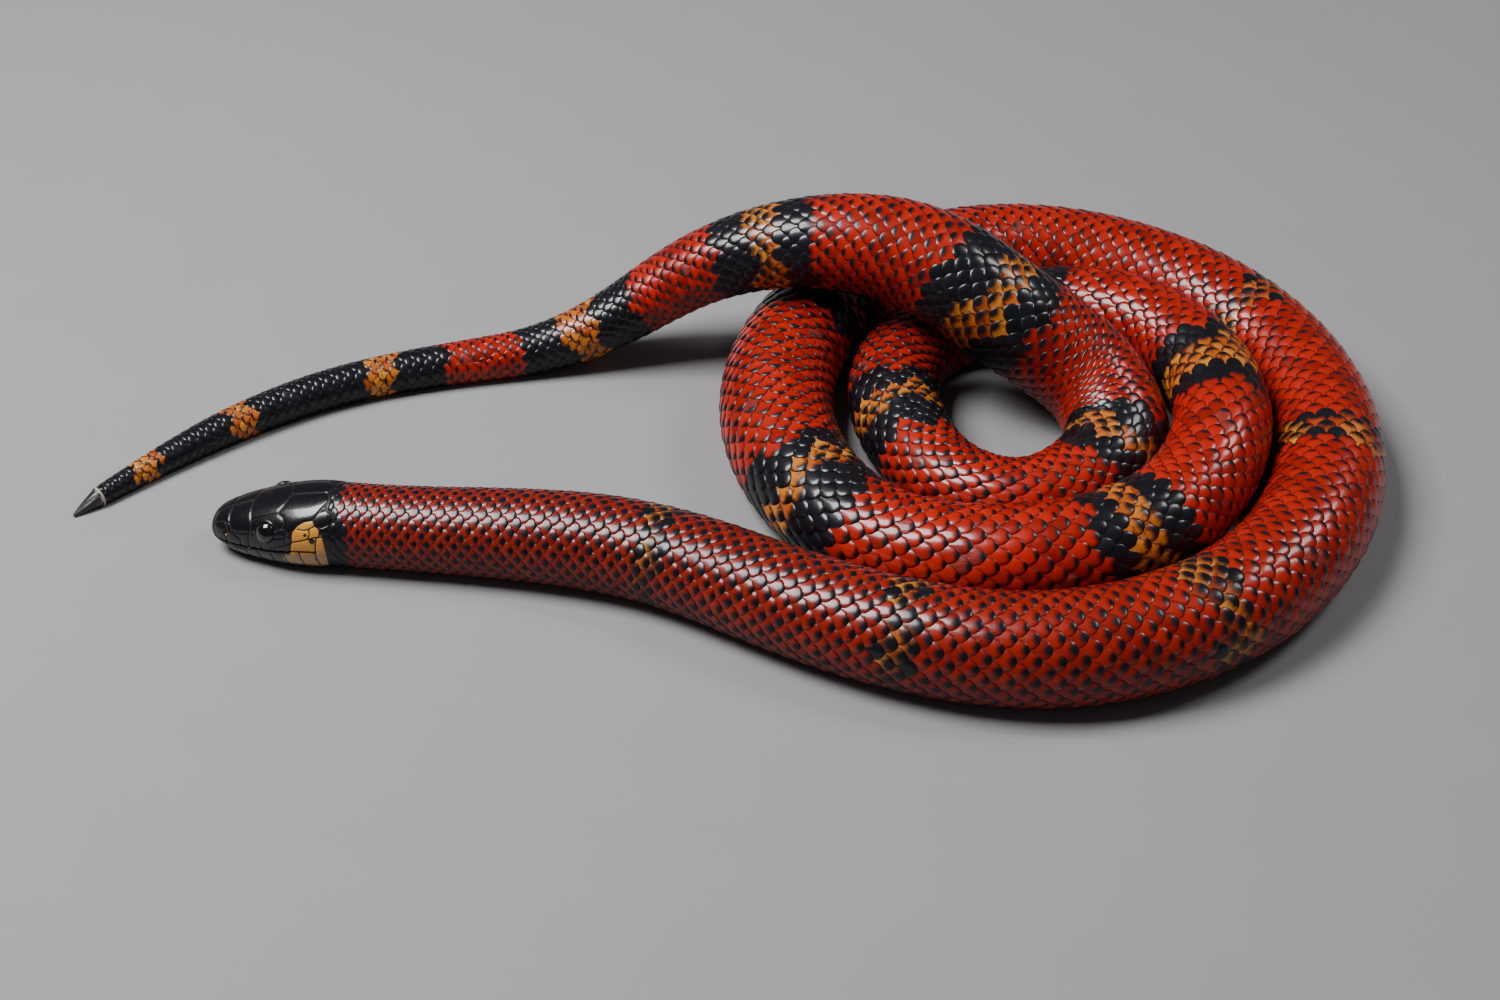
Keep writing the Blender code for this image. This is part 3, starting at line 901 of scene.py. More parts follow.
def quads(rings, columns, start):
    """Faces between the rings of a tube."""
    low = start + np.arange(rings - 1)[:, None] * columns
    here, there = np.arange(columns)[None, :], (np.arange(columns)[None, :] + 1) % columns
    return np.stack([low + here, low + there, low + columns + there, low + columns + here], -1).reshape(-1, 4)


body_first = head_skin.shape[0] * HEAD_COLUMNS
last_head_ring = body_first - HEAD_COLUMNS
share = HEAD_COLUMNS // BODY_COLUMNS
column = np.arange(BODY_COLUMNS)
fan = [last_head_ring + (column * share + k) % HEAD_COLUMNS for k in range(share + 1)]
join = np.stack(fan + [body_first + (column + 1) % BODY_COLUMNS, body_first + column], -1)
tip = len(points) - 1
first_ring_points = np.arange(HEAD_COLUMNS)
nose = np.stack([np.full(HEAD_COLUMNS, tip), (first_ring_points + 1) % HEAD_COLUMNS, first_ring_points], -1)
end = tip - BODY_COLUMNS + np.arange(BODY_COLUMNS)[None, :]
faces = [quads(len(head_rings), HEAD_COLUMNS, 0), quads(len(body_rings), BODY_COLUMNS, body_first)]
faces += [join, nose, end]

head_orange, head_black, _ = markings(ring_at, turn_at)
body_orange, body_black, _ = markings(body_grid_ring, body_grid_turn)


def both(on_the_head, on_the_body=0.0, at_the_tip=0.0):
    """One number for each point of the skin, in the order of its points."""
    behind = np.broadcast_to(on_the_body, body_grid_ring.shape).ravel()
    return np.concatenate([np.ravel(on_the_head), behind, [at_the_tip]])


skin = mesh_object(
    "skin",
    points,
    faces,
    {
        "orange": both(head_orange, body_orange),
        "black": both(head_black, body_black, 1.0),
        "plate": both(on_head, 0.0, 1.0),
        "seam": both(np.maximum(seam_mark, mouth_mark)),
        "cheek": both(cheek),
        "jaw": both(jaw),
        "pit": both(pit_mark),
    },
)
FLESH = ["head", "neck"] + [f"torso_{i}" for i in range(1, 15)] + [f"tail_{i}" for i in range(1, 4)]
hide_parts(*FLESH)
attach(skin, "root")

# %% [markdown]
# ## One scale
#
# A snake's smooth scale is a low dome: narrow at the root, widest at the middle, and round at the
# free end. Measured in pitches, the root starts a third of a pitch under the scale in front, and the
# tip is one pitch back, where the next scale of the row comes out. The dome rises from the skin to its
# highest point at about two thirds, and falls a little to the tip and a lot to the sides. Those falls
# are chosen so that a scale's rear edge always stands over the neighbours that start beside it, which
# is what makes them overlap. The outermost points drop to make a rounded edge, and a few faces close
# the underside, so that every scale is a solid piece.

# %% The grid of one scale
ACROSS = np.array([-1, -0.88, -0.5, 0, 0.5, 0.88, 1])
BACKWARD = np.array([-0.33, -0.1, 0.12, 0.32, 0.52, 0.7, 0.84, 0.95, 1.0])
WIDTHS = [(-0.33, 0.4), (-0.1, 0.66), (0.12, 0.84), (0.32, 0.94), (0.47, 0.96)]  # in row widths
TIP_SQUARE, TIP_BLUNT = 2.1, 0.62
HEIGHTS = [(-0.33, -0.01), (-0.15, -0.004), (0, 0.012), (0.25, 0.046)]  # over the skin, in pitches
HEIGHTS += [(0.5, 0.081), (0.68, 0.098), (0.84, 0.097), (1.0, 0.066)]
SIDE_FALL = 0.055  # in pitches, at one row's width from the middle
RIM = 0.022  # in pitches


def scale_width(back):
    """Half of a scale's width in row widths, at a distance back in pitches."""
    widest = WIDTHS[-1][0]
    rear = np.clip((back - widest) / (1 - widest), 0, 1)
    rounded = WIDTHS[-1][1] * (1 - rear**TIP_SQUARE) ** TIP_BLUNT
    return np.where(back < widest, np.interp(back, *zip(*WIDTHS)), np.maximum(rounded, 0.1))


SCALE_OUTLINE = scale_width(BACKWARD)
tip_round = np.array([0, 0, 0, 0, 0, 0, 0, 0.2, 1])  # share of RIM that each point drops
side_round = np.array([1, 0.15, 0, 0, 0, 0.15, 1])
edge_round = np.maximum(tip_round[:, None], side_round[None, :])
tip_border = np.array([0, 0, 0, 0, 0, 0, 0.25, 0.7, 1])  # how near its edge a point lies
side_border = np.array([1, 0.7, 0.1, 0, 0.1, 0.7, 1])
side_share = np.array([0.5, 0.5, 0.5, 0.6, 0.7, 0.9, 1, 1, 1])
BORDER = np.maximum(tip_border[:, None], side_border[None, :] * side_share[:, None])
SIDEWAYS = SCALE_OUTLINE[:, None] * ACROSS[None, :]
SCALE_SHAPE = smooth_line(*zip(*HEIGHTS))(BACKWARD)[:, None] - SIDE_FALL * SIDEWAYS**2 - RIM * edge_round
print("one scale:", SCALE_SHAPE.size, "points")


def grid_faces(count, down, over):
    """Faces of many closed shields: their tops, and the undersides that close them."""
    index = np.arange(down * over).reshape(down, over)
    tops = np.stack([index[:-1, :-1], index[:-1, 1:], index[1:, 1:], index[1:, :-1]], -1).reshape(-1, 4)
    under = np.stack([index[1:-2, 0], index[2:-1, 0], index[2:-1, -1], index[1:-2, -1]], -1)
    root = np.concatenate([index[0][::-1], [index[1, 0], index[1, -1]]])[None, :]
    tip = np.concatenate([index[-1], [index[-2, -1], index[-2, 0]]])[None, :]
    start = (np.arange(count) * down * over)[:, None, None]
    return [(start + g[None]).reshape(-1, g.shape[1]) for g in (tops, under, root, tip)]


# %% [markdown]
# ## All the scales
#
# A loop over the rows lists every scale by its row and its distance behind the snout. The rest is
# array arithmetic: all the scales of a length of the body are bent over it at once. Real scales aren't
# stamped, so each is a little longer, wider, higher or more tilted than the next, from a seeded draw.

# %% Listing the scales
COAT_PIECES = 6
SEED = 4
BACK_START, BELLY_START = 26.0, 25.5  # where the first ring of scales and the first plate may lie
UNDER_PLATES = 0.8  # of the pitch: how far the first scales reach under the head's plates
FADED = 0.4  # a row has no scales where its weight is less
CAP_OVERLAP = 0.5
draw = np.random.default_rng(SEED)
first_ring = math.ceil(float(read(RING, BACK_START)))
last_ring = math.floor(float(read(RING, LENGTH - SPINE_LENGTH + CAP_OVERLAP)))
found = []
for index, row in enumerate(rows):
    ring = np.arange(first_ring, last_ring) + 0.5 * (row % 2)
    at = np.interp(ring, RING, DISTANCE)
    under_plates = scales_start(read_row(ROW_MIDDLE, index, at)) - UNDER_PLATES * read(PITCH, at)
    keep = (at > under_plates) & (read_row(weights, index, at) > FADED)
    found.append(np.column_stack([np.full(keep.sum(), index), ring[keep], at[keep]]))
listed = np.concatenate(found)
scale_row, scale_ring, scale_at = listed[:, 0].astype(int), listed[:, 1], listed[:, 2]
print(len(listed), "scales on the back and sides")

# %% Bending the scales over the body
LONG_VARIES, WIDE_VARIES, HIGH_VARIES = 0.02, 0.03, 0.07
TILT_VARIES, PLACE_VARIES = 0.006, 0.015  # in pitches
COVER = (-0.1, 0.5)  # over these distances the last plates stop covering a scale


def lay_shields(at, pitch, back_steps, turn, lift):
    """Points of many shields: (shield, step back, step across, 3)."""
    back = at[:, None, None] + pitch[:, None, None] * back_steps
    degrees = turn(back)
    covered = 1 - eased(back - scales_start(degrees), *COVER)
    return on_body(back, degrees, lift - TUCK * covered)


def dorsal_points(row, at, rng):
    """Points of the scales of a length of body."""
    count = len(at)
    pitch = read(PITCH, at)
    long = rng.normal(1, LONG_VARIES, count)
    wide = rng.normal(1, WIDE_VARIES, count)[:, None, None]
    high = rng.normal(1, HIGH_VARIES, count)[:, None, None]
    tilt = rng.normal(0, TILT_VARIES, count)[:, None, None]
    lift = (SCALE_SHAPE * high + tilt * ACROSS - SCALE_DEPTH) * pitch[:, None, None]
    shift = rng.normal(0, PLACE_VARIES, count) * pitch

    def turn(back):
        middle = read_row(ROW_MIDDLE, row[:, None, None], back)
        return middle + read_row(ROW_WIDTH, row[:, None, None], back) * SIDEWAYS * wide

    return lay_shields(at + shift, pitch * long, BACKWARD[:, None], turn, np.minimum(lift, -0.01))


# %% [markdown]
# ## The belly's plates
#
# Under the body one wide plate spans the whole belly, with one for each ring of scales, and its ends
# turn up the sides as far as the lowest row. They are made like the scales, only wide.

# %% The grid of a belly plate
BELLY_ACROSS = np.array([-1, -0.96, -0.86, -0.74, -0.6, -0.4, -0.2, 0, 0.2, 0.4, 0.6, 0.74, 0.86, 0.96, 1])
BELLY_BACK = np.array([-0.25, 0.2, 0.65, 0.88, 0.96, 1])
BELLY_TUCK = 5.0  # degrees that a plate's ends reach under the lowest row
BELLY_BOW = 0.12  # of the pitch: how far forward a plate's ends lie of its middle
belly_rise = 0.03 + 0.9 * eased(BELLY_BACK, -0.4, 0.97)
belly_tip_round = np.array([0, 0, 0, 0, 0.3, 1])
belly_side_round = np.array([1, 0.3] + [0] * 11 + [0.3, 1])
belly_round = np.maximum(belly_tip_round[:, None], belly_side_round[None, :])
BELLY_SHAPE = SCALE_DEPTH * belly_rise[:, None] - RIM * belly_round


def belly_points(at):
    """Points of the plates under a length of body."""
    pitch = read(PITCH, at)
    lift = (BELLY_SHAPE - SCALE_DEPTH) * pitch[:, None, None]
    half = 90 + BELLY_EDGE + BELLY_TUCK
    bowed = BELLY_BACK[:, None] - BELLY_BOW * np.abs(BELLY_ACROSS[None, :]) ** 2.5
    return lay_shields(at, pitch, bowed, lambda back: -90 + half * BELLY_ACROSS, np.minimum(lift, -0.02))


# %% [markdown]
# ## Numbers and map places of the scales
#
# Each point carries the numbers that the material reads. The coat also has a map of its surface for
# baking, on which every scale has a patch of its own, at its place on the unrolled body: rings run
# across the map, and rows run up it. A patch fills most of the room between its neighbours, so that a
# scale's black tip keeps its place. The few faces of the underside would lie over the top's if they
# had the same places, so each of them gets a small square in the gap beside its own scale.

# %% Numbers and places
ORANGE_LEAST = 0.5  # of the full orange, on the reddest scale of a band
ORANGE_SPREAD = 37
PATCH = 0.72  # of the room on the map
UNDER_SLOTS = 8  # squares for the underside's faces, one over the other in the gap
UNDER_SIZE = 0.045  # half of such a square's diagonal, of the room
DORSAL_SHARE = 0.88  # of the map's height, with the belly's plates above it
BELLY_ROOM = 0.11


def shield_numbers(shape, at, turn, own, back, sideways, rim, belly):
    """Numbers that the scale's material reads, one for each point."""
    orange, black, dusk = markings(at + read(PITCH, at) / 2, turn)
    half = (1 - ORANGE_LEAST) / 2
    orange = orange * (1 - half + half * np.cos(own * ORANGE_SPREAD))
    low = np.clip(1 - np.sin(np.radians(turn)), 0, 2) / 2
    each = {"orange": orange, "black": black, "dusk": dusk, "own": own, "far": at / LENGTH, "low": low}
    spread = {key: value[:, None, None] for key, value in each.items()}
    spread.update(tip=back[None, :, None], side=sideways[None], rim=rim[None])
    spread["belly"] = np.full((1, 1, 1), belly)
    return {key: np.broadcast_to(value, shape).ravel() for key, value in spread.items()}


def shield_patches(shape, left, low, wide, high, groups):
    """Places on the bake map for every corner of many shields: the top fills its patch evenly, and
    each face that closes the shield has a small square in the gap."""
    count, down, over, _ = shape
    u = left[:, None, None] + wide * PATCH * np.linspace(0, 1, down)[None, :, None]
    v = low[:, None, None] + high * PATCH * np.linspace(0, 1, over)[None, None, :]
    at_point = np.stack([np.broadcast_to(u, shape[:3]), np.broadcast_to(v, shape[:3])], -1).reshape(-1, 2)
    places = [at_point[groups[0]].reshape(-1, 2)]
    slot = 0
    for group in groups[1:]:
        each = len(group) // count
        corners = group.shape[1]
        turn = np.arange(corners) * 2 * math.pi / corners
        for_face = np.repeat(np.arange(count), each)
        step = np.tile(slot + np.arange(each), count)
        middle_u = left[for_face] + wide * (PATCH + 0.5 * (1 - PATCH))
        middle_v = low[for_face] + high * PATCH * (step + 0.5) / UNDER_SLOTS
        round_u = middle_u[:, None] + wide * UNDER_SIZE * np.cos(turn)[None, :]
        round_v = middle_v[:, None] + high * UNDER_SIZE * np.sin(turn)[None, :]
        places.append(np.stack([round_u, round_v], -1).reshape(-1, 2))
        slot += each
    return places


# %% [markdown]
# ## The coat, length by length
#
# With the helpers ready, a loop makes the coat's six meshes. Each takes the scales and belly plates
# whose rings lie in its length, their numbers for the material, and their places on the map.

# %% Making the coat
belly_ring = np.arange(first_ring, last_ring) + 0.25
belly_at = np.interp(belly_ring, RING, DISTANCE)
belly_ring, belly_at = belly_ring[belly_at > BELLY_START], belly_at[belly_at > BELLY_START]
cuts = np.linspace(first_ring, last_ring + 1, COAT_PIECES + 1)
belly_sideways = np.broadcast_to(BELLY_ACROSS * 0.3, BELLY_SHAPE.shape)
coat = []
for number, (start, stop) in enumerate(zip(cuts, cuts[1:]), 1):
    here = (scale_ring >= start) & (scale_ring < stop)
    under = (belly_ring >= start) & (belly_ring < stop)
    row, at, plate_at = scale_row[here], scale_at[here], belly_at[under]
    backs, plates = dorsal_points(row, at, draw), belly_points(plate_at)
    back_shape, plate_shape = backs.shape[:3], plates.shape[:3]
    turn, plate_turn = read_row(ROW_MIDDLE, row, at), np.full(len(plate_at), -90.0)
    numbers = shield_numbers(back_shape, at, turn, draw.random(len(at)), BACKWARD, SIDEWAYS, BORDER, 0.0)
    own = draw.random(len(plate_at))
    wide_numbers = shield_numbers(
        plate_shape, plate_at, plate_turn, own, BELLY_BACK, belly_sideways, belly_round, 1.0
    )
    cell, row_high = 1 / (stop - start + 1), DORSAL_SHARE / len(rows)
    low = np.full(len(plate_at), DORSAL_SHARE + 0.01)
    faces = grid_faces(len(backs), len(BACKWARD), len(ACROSS))
    wide_faces = grid_faces(len(plates), len(BELLY_BACK), len(BELLY_ACROSS))
    left = (scale_ring[here] - start) * cell
    patches = shield_patches(backs.shape, left, row * row_high, cell, row_high, faces)
    left = (belly_ring[under] - start) * cell
    patches += shield_patches(plates.shape, left, low, cell, BELLY_ROOM, wide_faces)
    piece = mesh_object(
        f"scales_{number}",
        np.concatenate([backs.reshape(-1, 3), plates.reshape(-1, 3)]),
        faces + [g + math.prod(back_shape) for g in wide_faces],
        {key: np.concatenate([numbers[key], wide_numbers[key]]) for key in numbers},
    )
    add_bake_map(piece, patches)
    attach(piece, "root")
    coat.append(piece)

# %% [markdown]
# ## The eyes
#
# Seen from outside a snake's eye is a low glossy dome, black with a faint brown ring for the iris. It
# is turned as a profile round its axis: the dome in front, and a plain shell behind, in the hollow.

# %% Two eyes
DOME = 1.0
DOME_EDGE = 2.2
EYE_SIDES = 64
BALL = (DOME**2 + DOME_EDGE**2) / (2 * DOME)
front = np.linspace(0, DOME_EDGE, 16)[1:]
eye_profile = [(x, DOME - BALL + math.sqrt(BALL**2 - x**2)) for x in front]
eye_profile += [(DOME_EDGE * 0.99, -0.3), (DOME_EDGE * 0.85, -0.8), (DOME_EDGE * 0.5, -1.1)]


def turned(profile, foot, axis, top, bottom):
    """Points and faces of a profile turned round an axis, closed by a point at each end."""
    across = np.cross(axis, (0, 0, 1))
    across /= np.linalg.norm(across)
    over = np.cross(axis, across)
    angle = np.arange(EYE_SIDES) * 2 * math.pi / EYE_SIDES
    spokes = across * np.cos(angle)[:, None] + over * np.sin(angle)[:, None]
    rings = [foot + axis * out + spokes * radius for radius, out in profile]
    points = np.concatenate(rings + [[foot + axis * top], [foot + axis * bottom]])
    sides_of = quads(len(profile), EYE_SIDES, 0)
    here, there = np.arange(EYE_SIDES), (np.arange(EYE_SIDES) + 1) % EYE_SIDES
    last = (len(profile) - 1) * EYE_SIDES
    top_fan = np.stack([np.full(EYE_SIDES, len(points) - 2), there, here], -1)
    bottom_fan = np.stack([np.full(EYE_SIDES, len(points) - 1), last + here, last + there], -1)
    return points, [sides_of, top_fan, bottom_fan]


eyes = []
for side, (foot, axis) in EYES.items():
    points, faces = turned(eye_profile, foot, axis, DOME, -1.2)
    radius = np.concatenate([np.repeat([r / DOME_EDGE for r, _ in eye_profile], EYE_SIDES), [0, 0]])
    ball = mesh_object(f"eyeball_{side}", points, faces, {"radius": radius})
    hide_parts(f"eye_{side}")
    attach(ball, "root")
    eyes.append(ball)

# %% [markdown]
# ## The cap of the tail
#
# The tail ends in a hard, dark cap, a single hollow scale like a thimble, with fine ridges along it
# and a pale, worn edge where it begins.

# %% Ridged cap
CAP_RINGS = 40
CAP_COLUMNS = 72
CAP_RIDGES = 9
CAP_RIDGE, CAP_LIP, CAP_INSET = 0.06, 0.1, 0.08  # of the tail's radius
CAP_TAPER = 0.75  # how much thinner the tip is than the edge
cap_share = np.linspace(-0.12, 1, CAP_RINGS)
cap_at = LENGTH - SPINE_LENGTH * (1 - cap_share)
cap_turn = np.arange(CAP_COLUMNS) * 360 / CAP_COLUMNS
cap_line = along(np.minimum(cap_at, LENGTH - TABLE_STEP))[0]
cap_ring = on_body(np.minimum(cap_at, LENGTH - TABLE_STEP)[:, None], cap_turn[None, :])
narrow = 1 - CAP_TAPER * np.clip(cap_share, 0, 1) ** 1.6
lip_swell = CAP_LIP * np.exp(-((cap_share / 0.05) ** 2))
round_it = np.abs(np.cos(np.radians(cap_turn) * CAP_RIDGES / 2))
down_it = np.sin(np.clip(cap_share, 0, 1) * math.pi)
ridge = CAP_RIDGE * round_it[None, :] * down_it[:, None]
middle_of = cap_ring.mean(axis=1, keepdims=True)
out_of = cap_ring - middle_of
cap_points = middle_of + out_of * (1 - CAP_INSET + lip_swell[:, None, None] - ridge[..., None])
cap_points = cap_line[:, None, :] + (cap_points - cap_line[:, None, :]) * narrow[:, None, None]
cap_points[..., 2] = np.maximum(cap_points[..., 2], FLOOR_GAP)
cap_flat = cap_points.reshape(-1, 3)
cap_faces = [quads(CAP_RINGS, CAP_COLUMNS, 0), np.arange(CAP_COLUMNS)[None, ::-1]]
cap_faces.append((len(cap_flat) - CAP_COLUMNS + np.arange(CAP_COLUMNS))[None, :])
cap = mesh_object(
    "tail_cap",
    cap_flat,
    cap_faces,
    {"share": np.repeat(cap_share, CAP_COLUMNS), "ridge": (ridge / CAP_RIDGE).ravel()},
)
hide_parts("tail_spine")
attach(cap, "root")

# %% [markdown]
# ## Colours of a scale
#
# Every scale is one colour with a black tip, which is longest on the neck, shrinks to an edge on the
# second coil, and grows a little again where the body crosses it. The colour varies from scale to
# scale and pales towards the belly. The neck's red is darker and browner, as painted shade. Each
# scale's rear is painted darker as shade, and its edges are painted dark, partly as its own border and
# partly as painted shade where the scales overlap. The numbers on the mesh say which scale a point is
# on and how far back along it, so this material needs no picture. A thin clear coat gives the wet
# gloss, and is weaker on the black tips. One scale in seventy is old, dull and wrinkled.

# %% The scales' material
RED = (0.46, 0.0125, 0.002)
DEEP_RED = (0.21, 0.0045, 0.001)
# painted shade: a darker, browner red for the neck, which lies less lit than the coil
SHADED_NECK_RED = (0.24, 0.014, 0.005)
PALE_RED = (0.26, 0.05, 0.025)
ORANGE = (0.66, 0.26, 0.03)
AMBER = (0.48, 0.13, 0.01)
UMBER = (0.03, 0.011, 0.005)
BLACK = (0.005, 0.004, 0.006)
BLUE_BLACK = (0.008, 0.009, 0.013)
WORN_HORN = (0.36, 0.31, 0.27)
WORN = 0.985  # scales whose own number is above this are old
THIN_BANDS_END = (0.32, 0.4)  # shares of the length, over which the thin bands become full ones
TAIL_START = (0.84, 0.89)
TIP_LONG = [(0, 0.5), (0.05, 0.53), (0.09, 0.5), (0.14, 0.4), (0.26, 0.3), (0.36, 0.26), (0.48, 0.24)]
TIP_LONG += [(0.68, 0.26), (0.75, 0.34), (0.83, 0.33), (0.9, 0.27)]
TIP_WIDE = [(0, 0.56), (0.14, 0.64), (0.26, 0.74), (0.36, 0.85), (0.5, 0.9), (0.68, 0.9)]
TIP_WIDE += [(0.78, 0.8), (0.9, 0.8)]
SHADED = 0.45  # how much darker a scale's rear is than its front


def scale_finish():
    finish = Finish("scale", Coat_Roughness=0.14, Coat_IOR=1.5, IOR=1.34)
    orange, black, dusk, tip, side = (finish.stored(k) for k in ("orange", "black", "dusk", "tip", "side"))
    own, far, low, belly, rim = (finish.stored(k) for k in ("own", "far", "low", "belly", "rim"))
    cloud = finish.noise(260.0, 3.0)
    speck = finish.noise(1500.0, 2.0)
    # painted shade: scales near the head take the darker neck red
    red = finish.mix(finish.step(far, 0.06, 0.3), SHADED_NECK_RED, RED)
    red = finish.mix(finish.step(own * 0.5 + cloud * 0.6, 0.35, 0.95), red, DEEP_RED)
    red = finish.mix(finish.step(low, 0.45, 0.95) * 0.6 + belly * 0.3, red, PALE_RED)
    red = finish.mix(finish.step(tip, 0.3, 1.0) * SHADED, red, DEEP_RED)
    mottle = finish.step(finish.noise(700.0, 3.0) + rim * 0.35, 0.52, 0.7) * 0.85
    amber = finish.mix(mottle, finish.mix(own, ORANGE, AMBER), UMBER)
    thin = 1 - finish.step(far, *THIN_BANDS_END)
    colour = finish.mix(orange * (1 - thin * finish.step(own + cloud, 0.6, 1.3) * 0.7), red, amber)
    ink = finish.mix(own, BLACK, BLUE_BLACK)
    tail = finish.step(far, *TAIL_START)
    long = finish.curve(far, TIP_LONG) * (0.8 + own * 0.4) * (1 - belly * 0.5)
    long = long + orange * (0.2 + thin * 0.15 - tail * 0.3) + dusk * (1 - orange) * 0.12
    wide = finish.curve(far, TIP_WIDE) * (1 - low * 0.2) + dusk * 0.1 + orange * thin * 0.35
    from_tip = (1 - tip) / long
    off_middle = side / wide
    reach = (from_tip * from_tip + off_middle * off_middle) ** 0.5
    reach = reach + (speck - 0.5) * 0.25 + (cloud - 0.5) * 0.3
    inked = 1 - finish.step(reach, 0.55, 1.3)
    # dark edges round each scale: partly the scale's own dark border, partly painted shade where neighbours
    # overlap it
    edge_ink_and_shade = finish.step(rim + (speck - 0.5) * 0.4, 0.3, 0.85) * 0.9
    tipped = inked.greater(edge_ink_and_shade) * (1 - black)
    dark = tipped.greater(black)
    colour = finish.mix(dark, colour, ink)
    worn = finish.step(own, WORN, WORN + 0.001)
    ridges = finish.noise(900.0, 4.0) + worn * finish.noise(420.0, 5.0, (1.0, 3.0, 3.0)) * 6
    bump = finish.bump(ridges, 0.0001, 0.4)
    gloss = (0.3 + cloud * 0.3) * (1 - finish.step(low, 0.15, 0.6) * 0.85) * (1 - tipped * 0.6)
    return finish.connect(
        Base_Color=finish.mix(worn * (1 - dark) * 0.05, colour, WORN_HORN),
        Roughness=0.26 + speck * 0.1 + finish.step(low, 0.3, 0.8) * 0.2 + worn * 0.1,
        Coat_Weight=gloss - worn * 0.1,
        Normal=bump,
    )


scale_material = scale_finish()
for piece in coat:
    piece.data.materials.append(scale_material)
print("scales' material:", len(scale_material.node_tree.nodes), "nodes")

# %% [markdown]
# ## Skin and head
#
# The head's plates are glossy black with a brownish snout, the cheek is yellow-orange, and the grooves
# between plates are matt and dark. Behind the head the same skin is dull red and orange, painted dark
# as the shade of the narrow gaps between the scales, where it shows.

# %% The skin's material
YELLOW = (0.66, 0.32, 0.03)
CREAM = (0.42, 0.24, 0.09)
SNOUT_BROWN = (0.022, 0.013, 0.01)
# painted shade: the skin behind the head is darkened red and orange, for the gaps between scales it shows in
SHADED_SKIN_RED = (0.07, 0.006, 0.003)
SHADED_SKIN_ORANGE = (0.12, 0.035, 0.008)
NOSTRIL_RED = (0.16, 0.018, 0.008)


def skin_finish():
    finish = Finish("skin", Coat_Roughness=0.1, Coat_IOR=1.5, IOR=1.4)
    keys = ("orange", "black", "plate", "seam", "cheek", "jaw", "pit")
    orange, black, plate, seam, cheek, jaw, pit = (finish.stored(k) for k in keys)
    cloud = finish.noise(220.0, 4.0)
    grain = finish.noise(1400.0, 3.0)
    # painted shade: the body's skin between the scales, darker than the scales
    under = finish.mix(orange, SHADED_SKIN_RED, SHADED_SKIN_ORANGE)
    under = finish.mix(black, under, BLACK)
    top = finish.mix(finish.step(cloud, 0.5, 0.8) * 0.6, BLACK, SNOUT_BROWN)
    bright = finish.mix(finish.step(cloud, 0.35, 0.7), YELLOW, ORANGE)
    top = finish.mix(cheek, top, bright)
    top = finish.mix(jaw, top, CREAM)
    top = finish.mix(pit, top, NOSTRIL_RED)
    top = finish.mix(finish.step(seam, 0.25, 0.8), top, BLACK)
    colour = finish.mix(plate, under, top)
    bump = finish.bump(grain * 0.5 + cloud * 0.5, 0.00015, 0.35)
    return finish.connect(
        Base_Color=colour,
        Roughness=0.2 + grain * 0.12 + seam * 0.25 + (1 - plate) * 0.3,
        Coat_Weight=plate * (1 - seam) * 0.5,
        Normal=bump,
    )


skin_material = skin_finish()
skin.data.materials.append(skin_material)
print("skin's material:", len(skin_material.node_tree.nodes), "nodes")

# %% [markdown]
# ## Eyes and horn
#
# The clear scale over the eye is smooth as glass, so the eye is nearly black with the sharpest
# highlight on the animal. The cap of the tail is dry horn. It is duller, with fine ridges, and pale
# where it is worn, at its edge and in small patches.

# %% Eye and cap materials
IRIS = (0.012, 0.006, 0.005)
PUPIL = (0.003, 0.003, 0.003)
HORN = (0.022, 0.018, 0.017)


def eye_finish():
    finish = Finish("eye", Roughness=0.08, Coat_Weight=1.0, Coat_Roughness=0.02, IOR=1.45)
    radius = finish.stored("radius")
    fibres = finish.noise(3000.0, 3.0)
    ring = finish.step(radius, 0.5, 0.56) * (1 - finish.step(radius, 0.82, 0.95))
    colour = finish.mix(ring * (0.55 + fibres * 0.45), PUPIL, IRIS)
    return finish.connect(Base_Color=colour, Roughness=0.05 + finish.step(radius, 0.9, 1.0) * 0.3)


def horn_finish():
    finish = Finish("horn", Roughness=0.3, Coat_Roughness=0.2, IOR=1.5)
    share, ridge = finish.stored("share"), finish.stored("ridge")
    cloud = finish.noise(700.0, 4.0)
    worn = (1 - finish.step(share.size(), 0.02, 0.1)) + finish.step(cloud, 0.62, 0.75) * 0.35
    return finish.connect(
        Base_Color=finish.mix(worn, HORN, WORN_HORN),
        Roughness=0.28 + cloud * 0.2,
        Coat_Weight=0.4 - worn * 0.2,
        Normal=finish.bump(cloud + ridge * 0.3, 0.0002, 0.6),
    )


eye_material = eye_finish()
for ball in eyes:
    ball.data.materials.append(eye_material)
cap.data.materials.append(horn_finish())
print("materials:", ", ".join(made.name for made in bpy.data.materials))
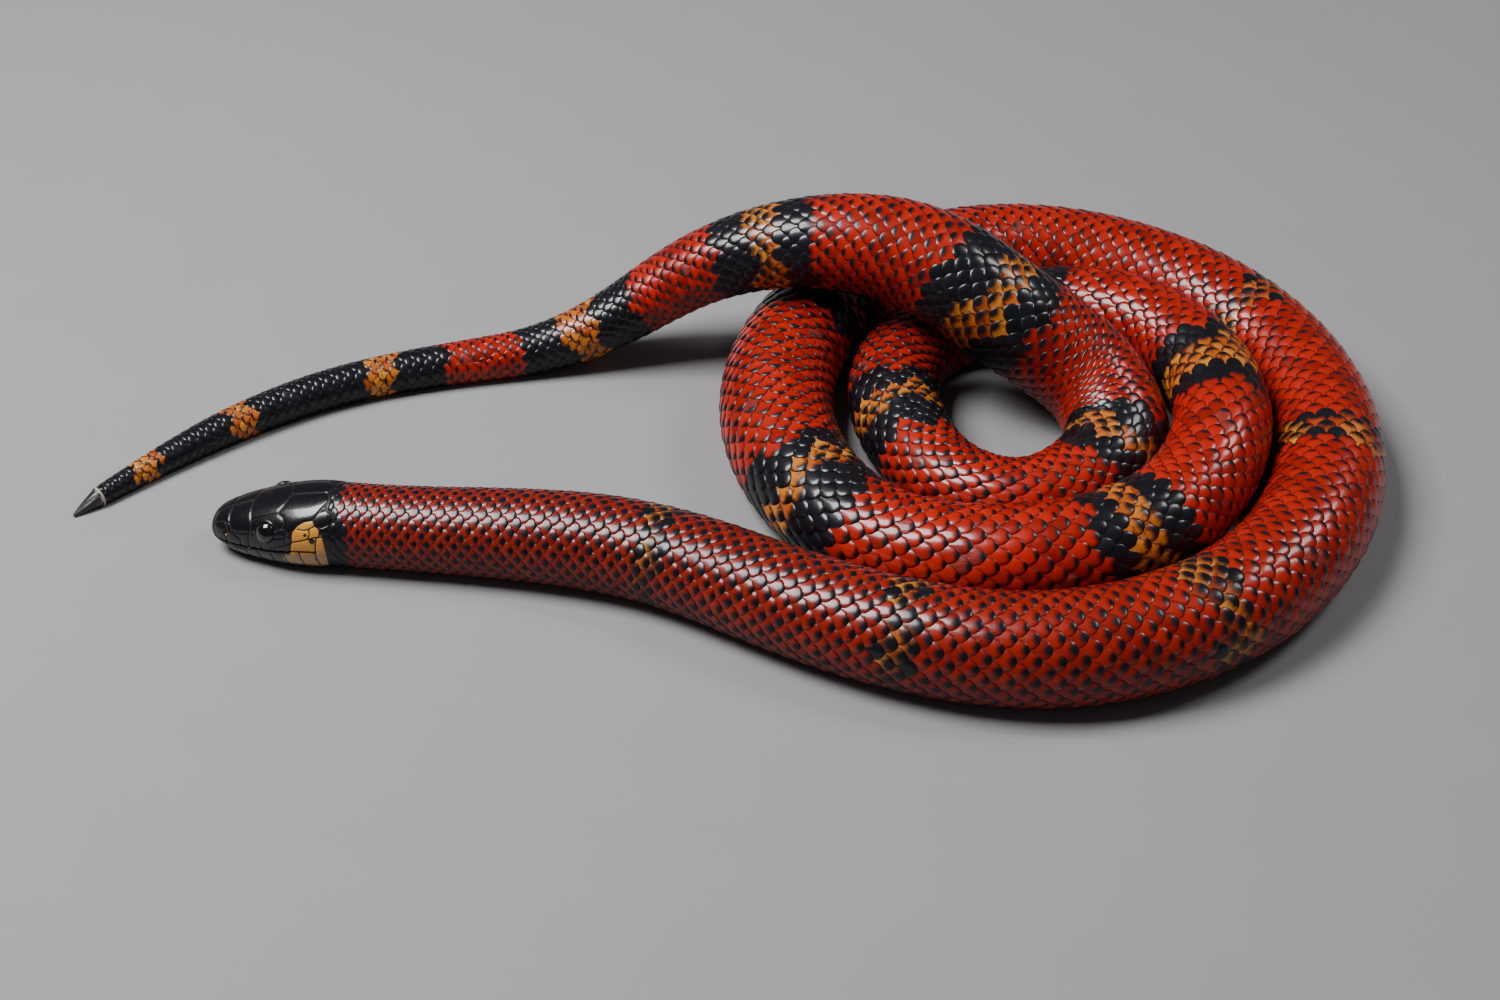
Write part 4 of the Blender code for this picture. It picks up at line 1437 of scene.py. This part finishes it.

# %% [markdown]
# ## Floor
#
# The snake lies on a plain pale floor. It is a single large face, matt and faintly uneven in tone.

# %% Floor
FLOOR_SIZE = 4.0
FLOOR_GREY = (0.3, 0.295, 0.3)
FLOOR_SHADE = (0.25, 0.245, 0.25)
floor_mesh = bpy.data.meshes.new("floor")
half = FLOOR_SIZE / 2
floor_corners = [(-half, -half, 0), (half, -half, 0), (half, half, 0), (-half, half, 0)]
floor_mesh.from_pydata(floor_corners, [], [(0, 1, 2, 3)])
floor = bpy.data.objects.new("floor", floor_mesh)
bpy.context.scene.collection.objects.link(floor)
floor_look = Finish("floor", Roughness=0.75)
floor_colour = floor_look.mix(floor_look.noise(60.0, 4.0) * 0.25, FLOOR_GREY, FLOOR_SHADE)
floor.data.materials.append(floor_look.connect(Base_Color=floor_colour))
print("floor:", FLOOR_SIZE, "m square")

# %% [markdown]
# ## Light
#
# The highlights run along the top of every length of body. So the main light is a large soft panel
# overhead, moved to the left. A second panel, much weaker, stands to the right, and shows the coil's
# far side. A dim even light from all round fills the shadows.

# %% Lights
PANELS = [  # name, place, target, size, power
    ("panel_left", (-0.36, 0.0, 0.7), (-0.05, 0.0, 0.0), (0.34, 0.36), 9.5),
    ("panel_right", (0.55, 0.15, 0.7), (0.05, 0.0, 0.0), (0.2, 0.26), 2.2),
]
for name, place, target, (wide, deep), power in PANELS:
    lamp = bpy.data.lights.new(name, "AREA")
    lamp.shape = "RECTANGLE"
    lamp.size, lamp.size_y = wide, deep
    lamp.energy = power
    holder = bpy.data.objects.new(name, lamp)
    bpy.context.scene.collection.objects.link(holder)
    holder.location = place
    holder.rotation_euler = (Vector(target) - Vector(place)).to_track_quat("-Z", "Y").to_euler()

WORLD_GREY = (0.72, 0.75, 0.8, 1.0)
WORLD_STRENGTH = 0.1
world = bpy.data.worlds.new("room")
world.use_nodes = True
world.node_tree.nodes["Background"].inputs["Color"].default_value = WORLD_GREY
world.node_tree.nodes["Background"].inputs["Strength"].default_value = WORLD_STRENGTH
bpy.context.scene.world = world
print(len(PANELS), "panels, and a world at strength", WORLD_STRENGTH)
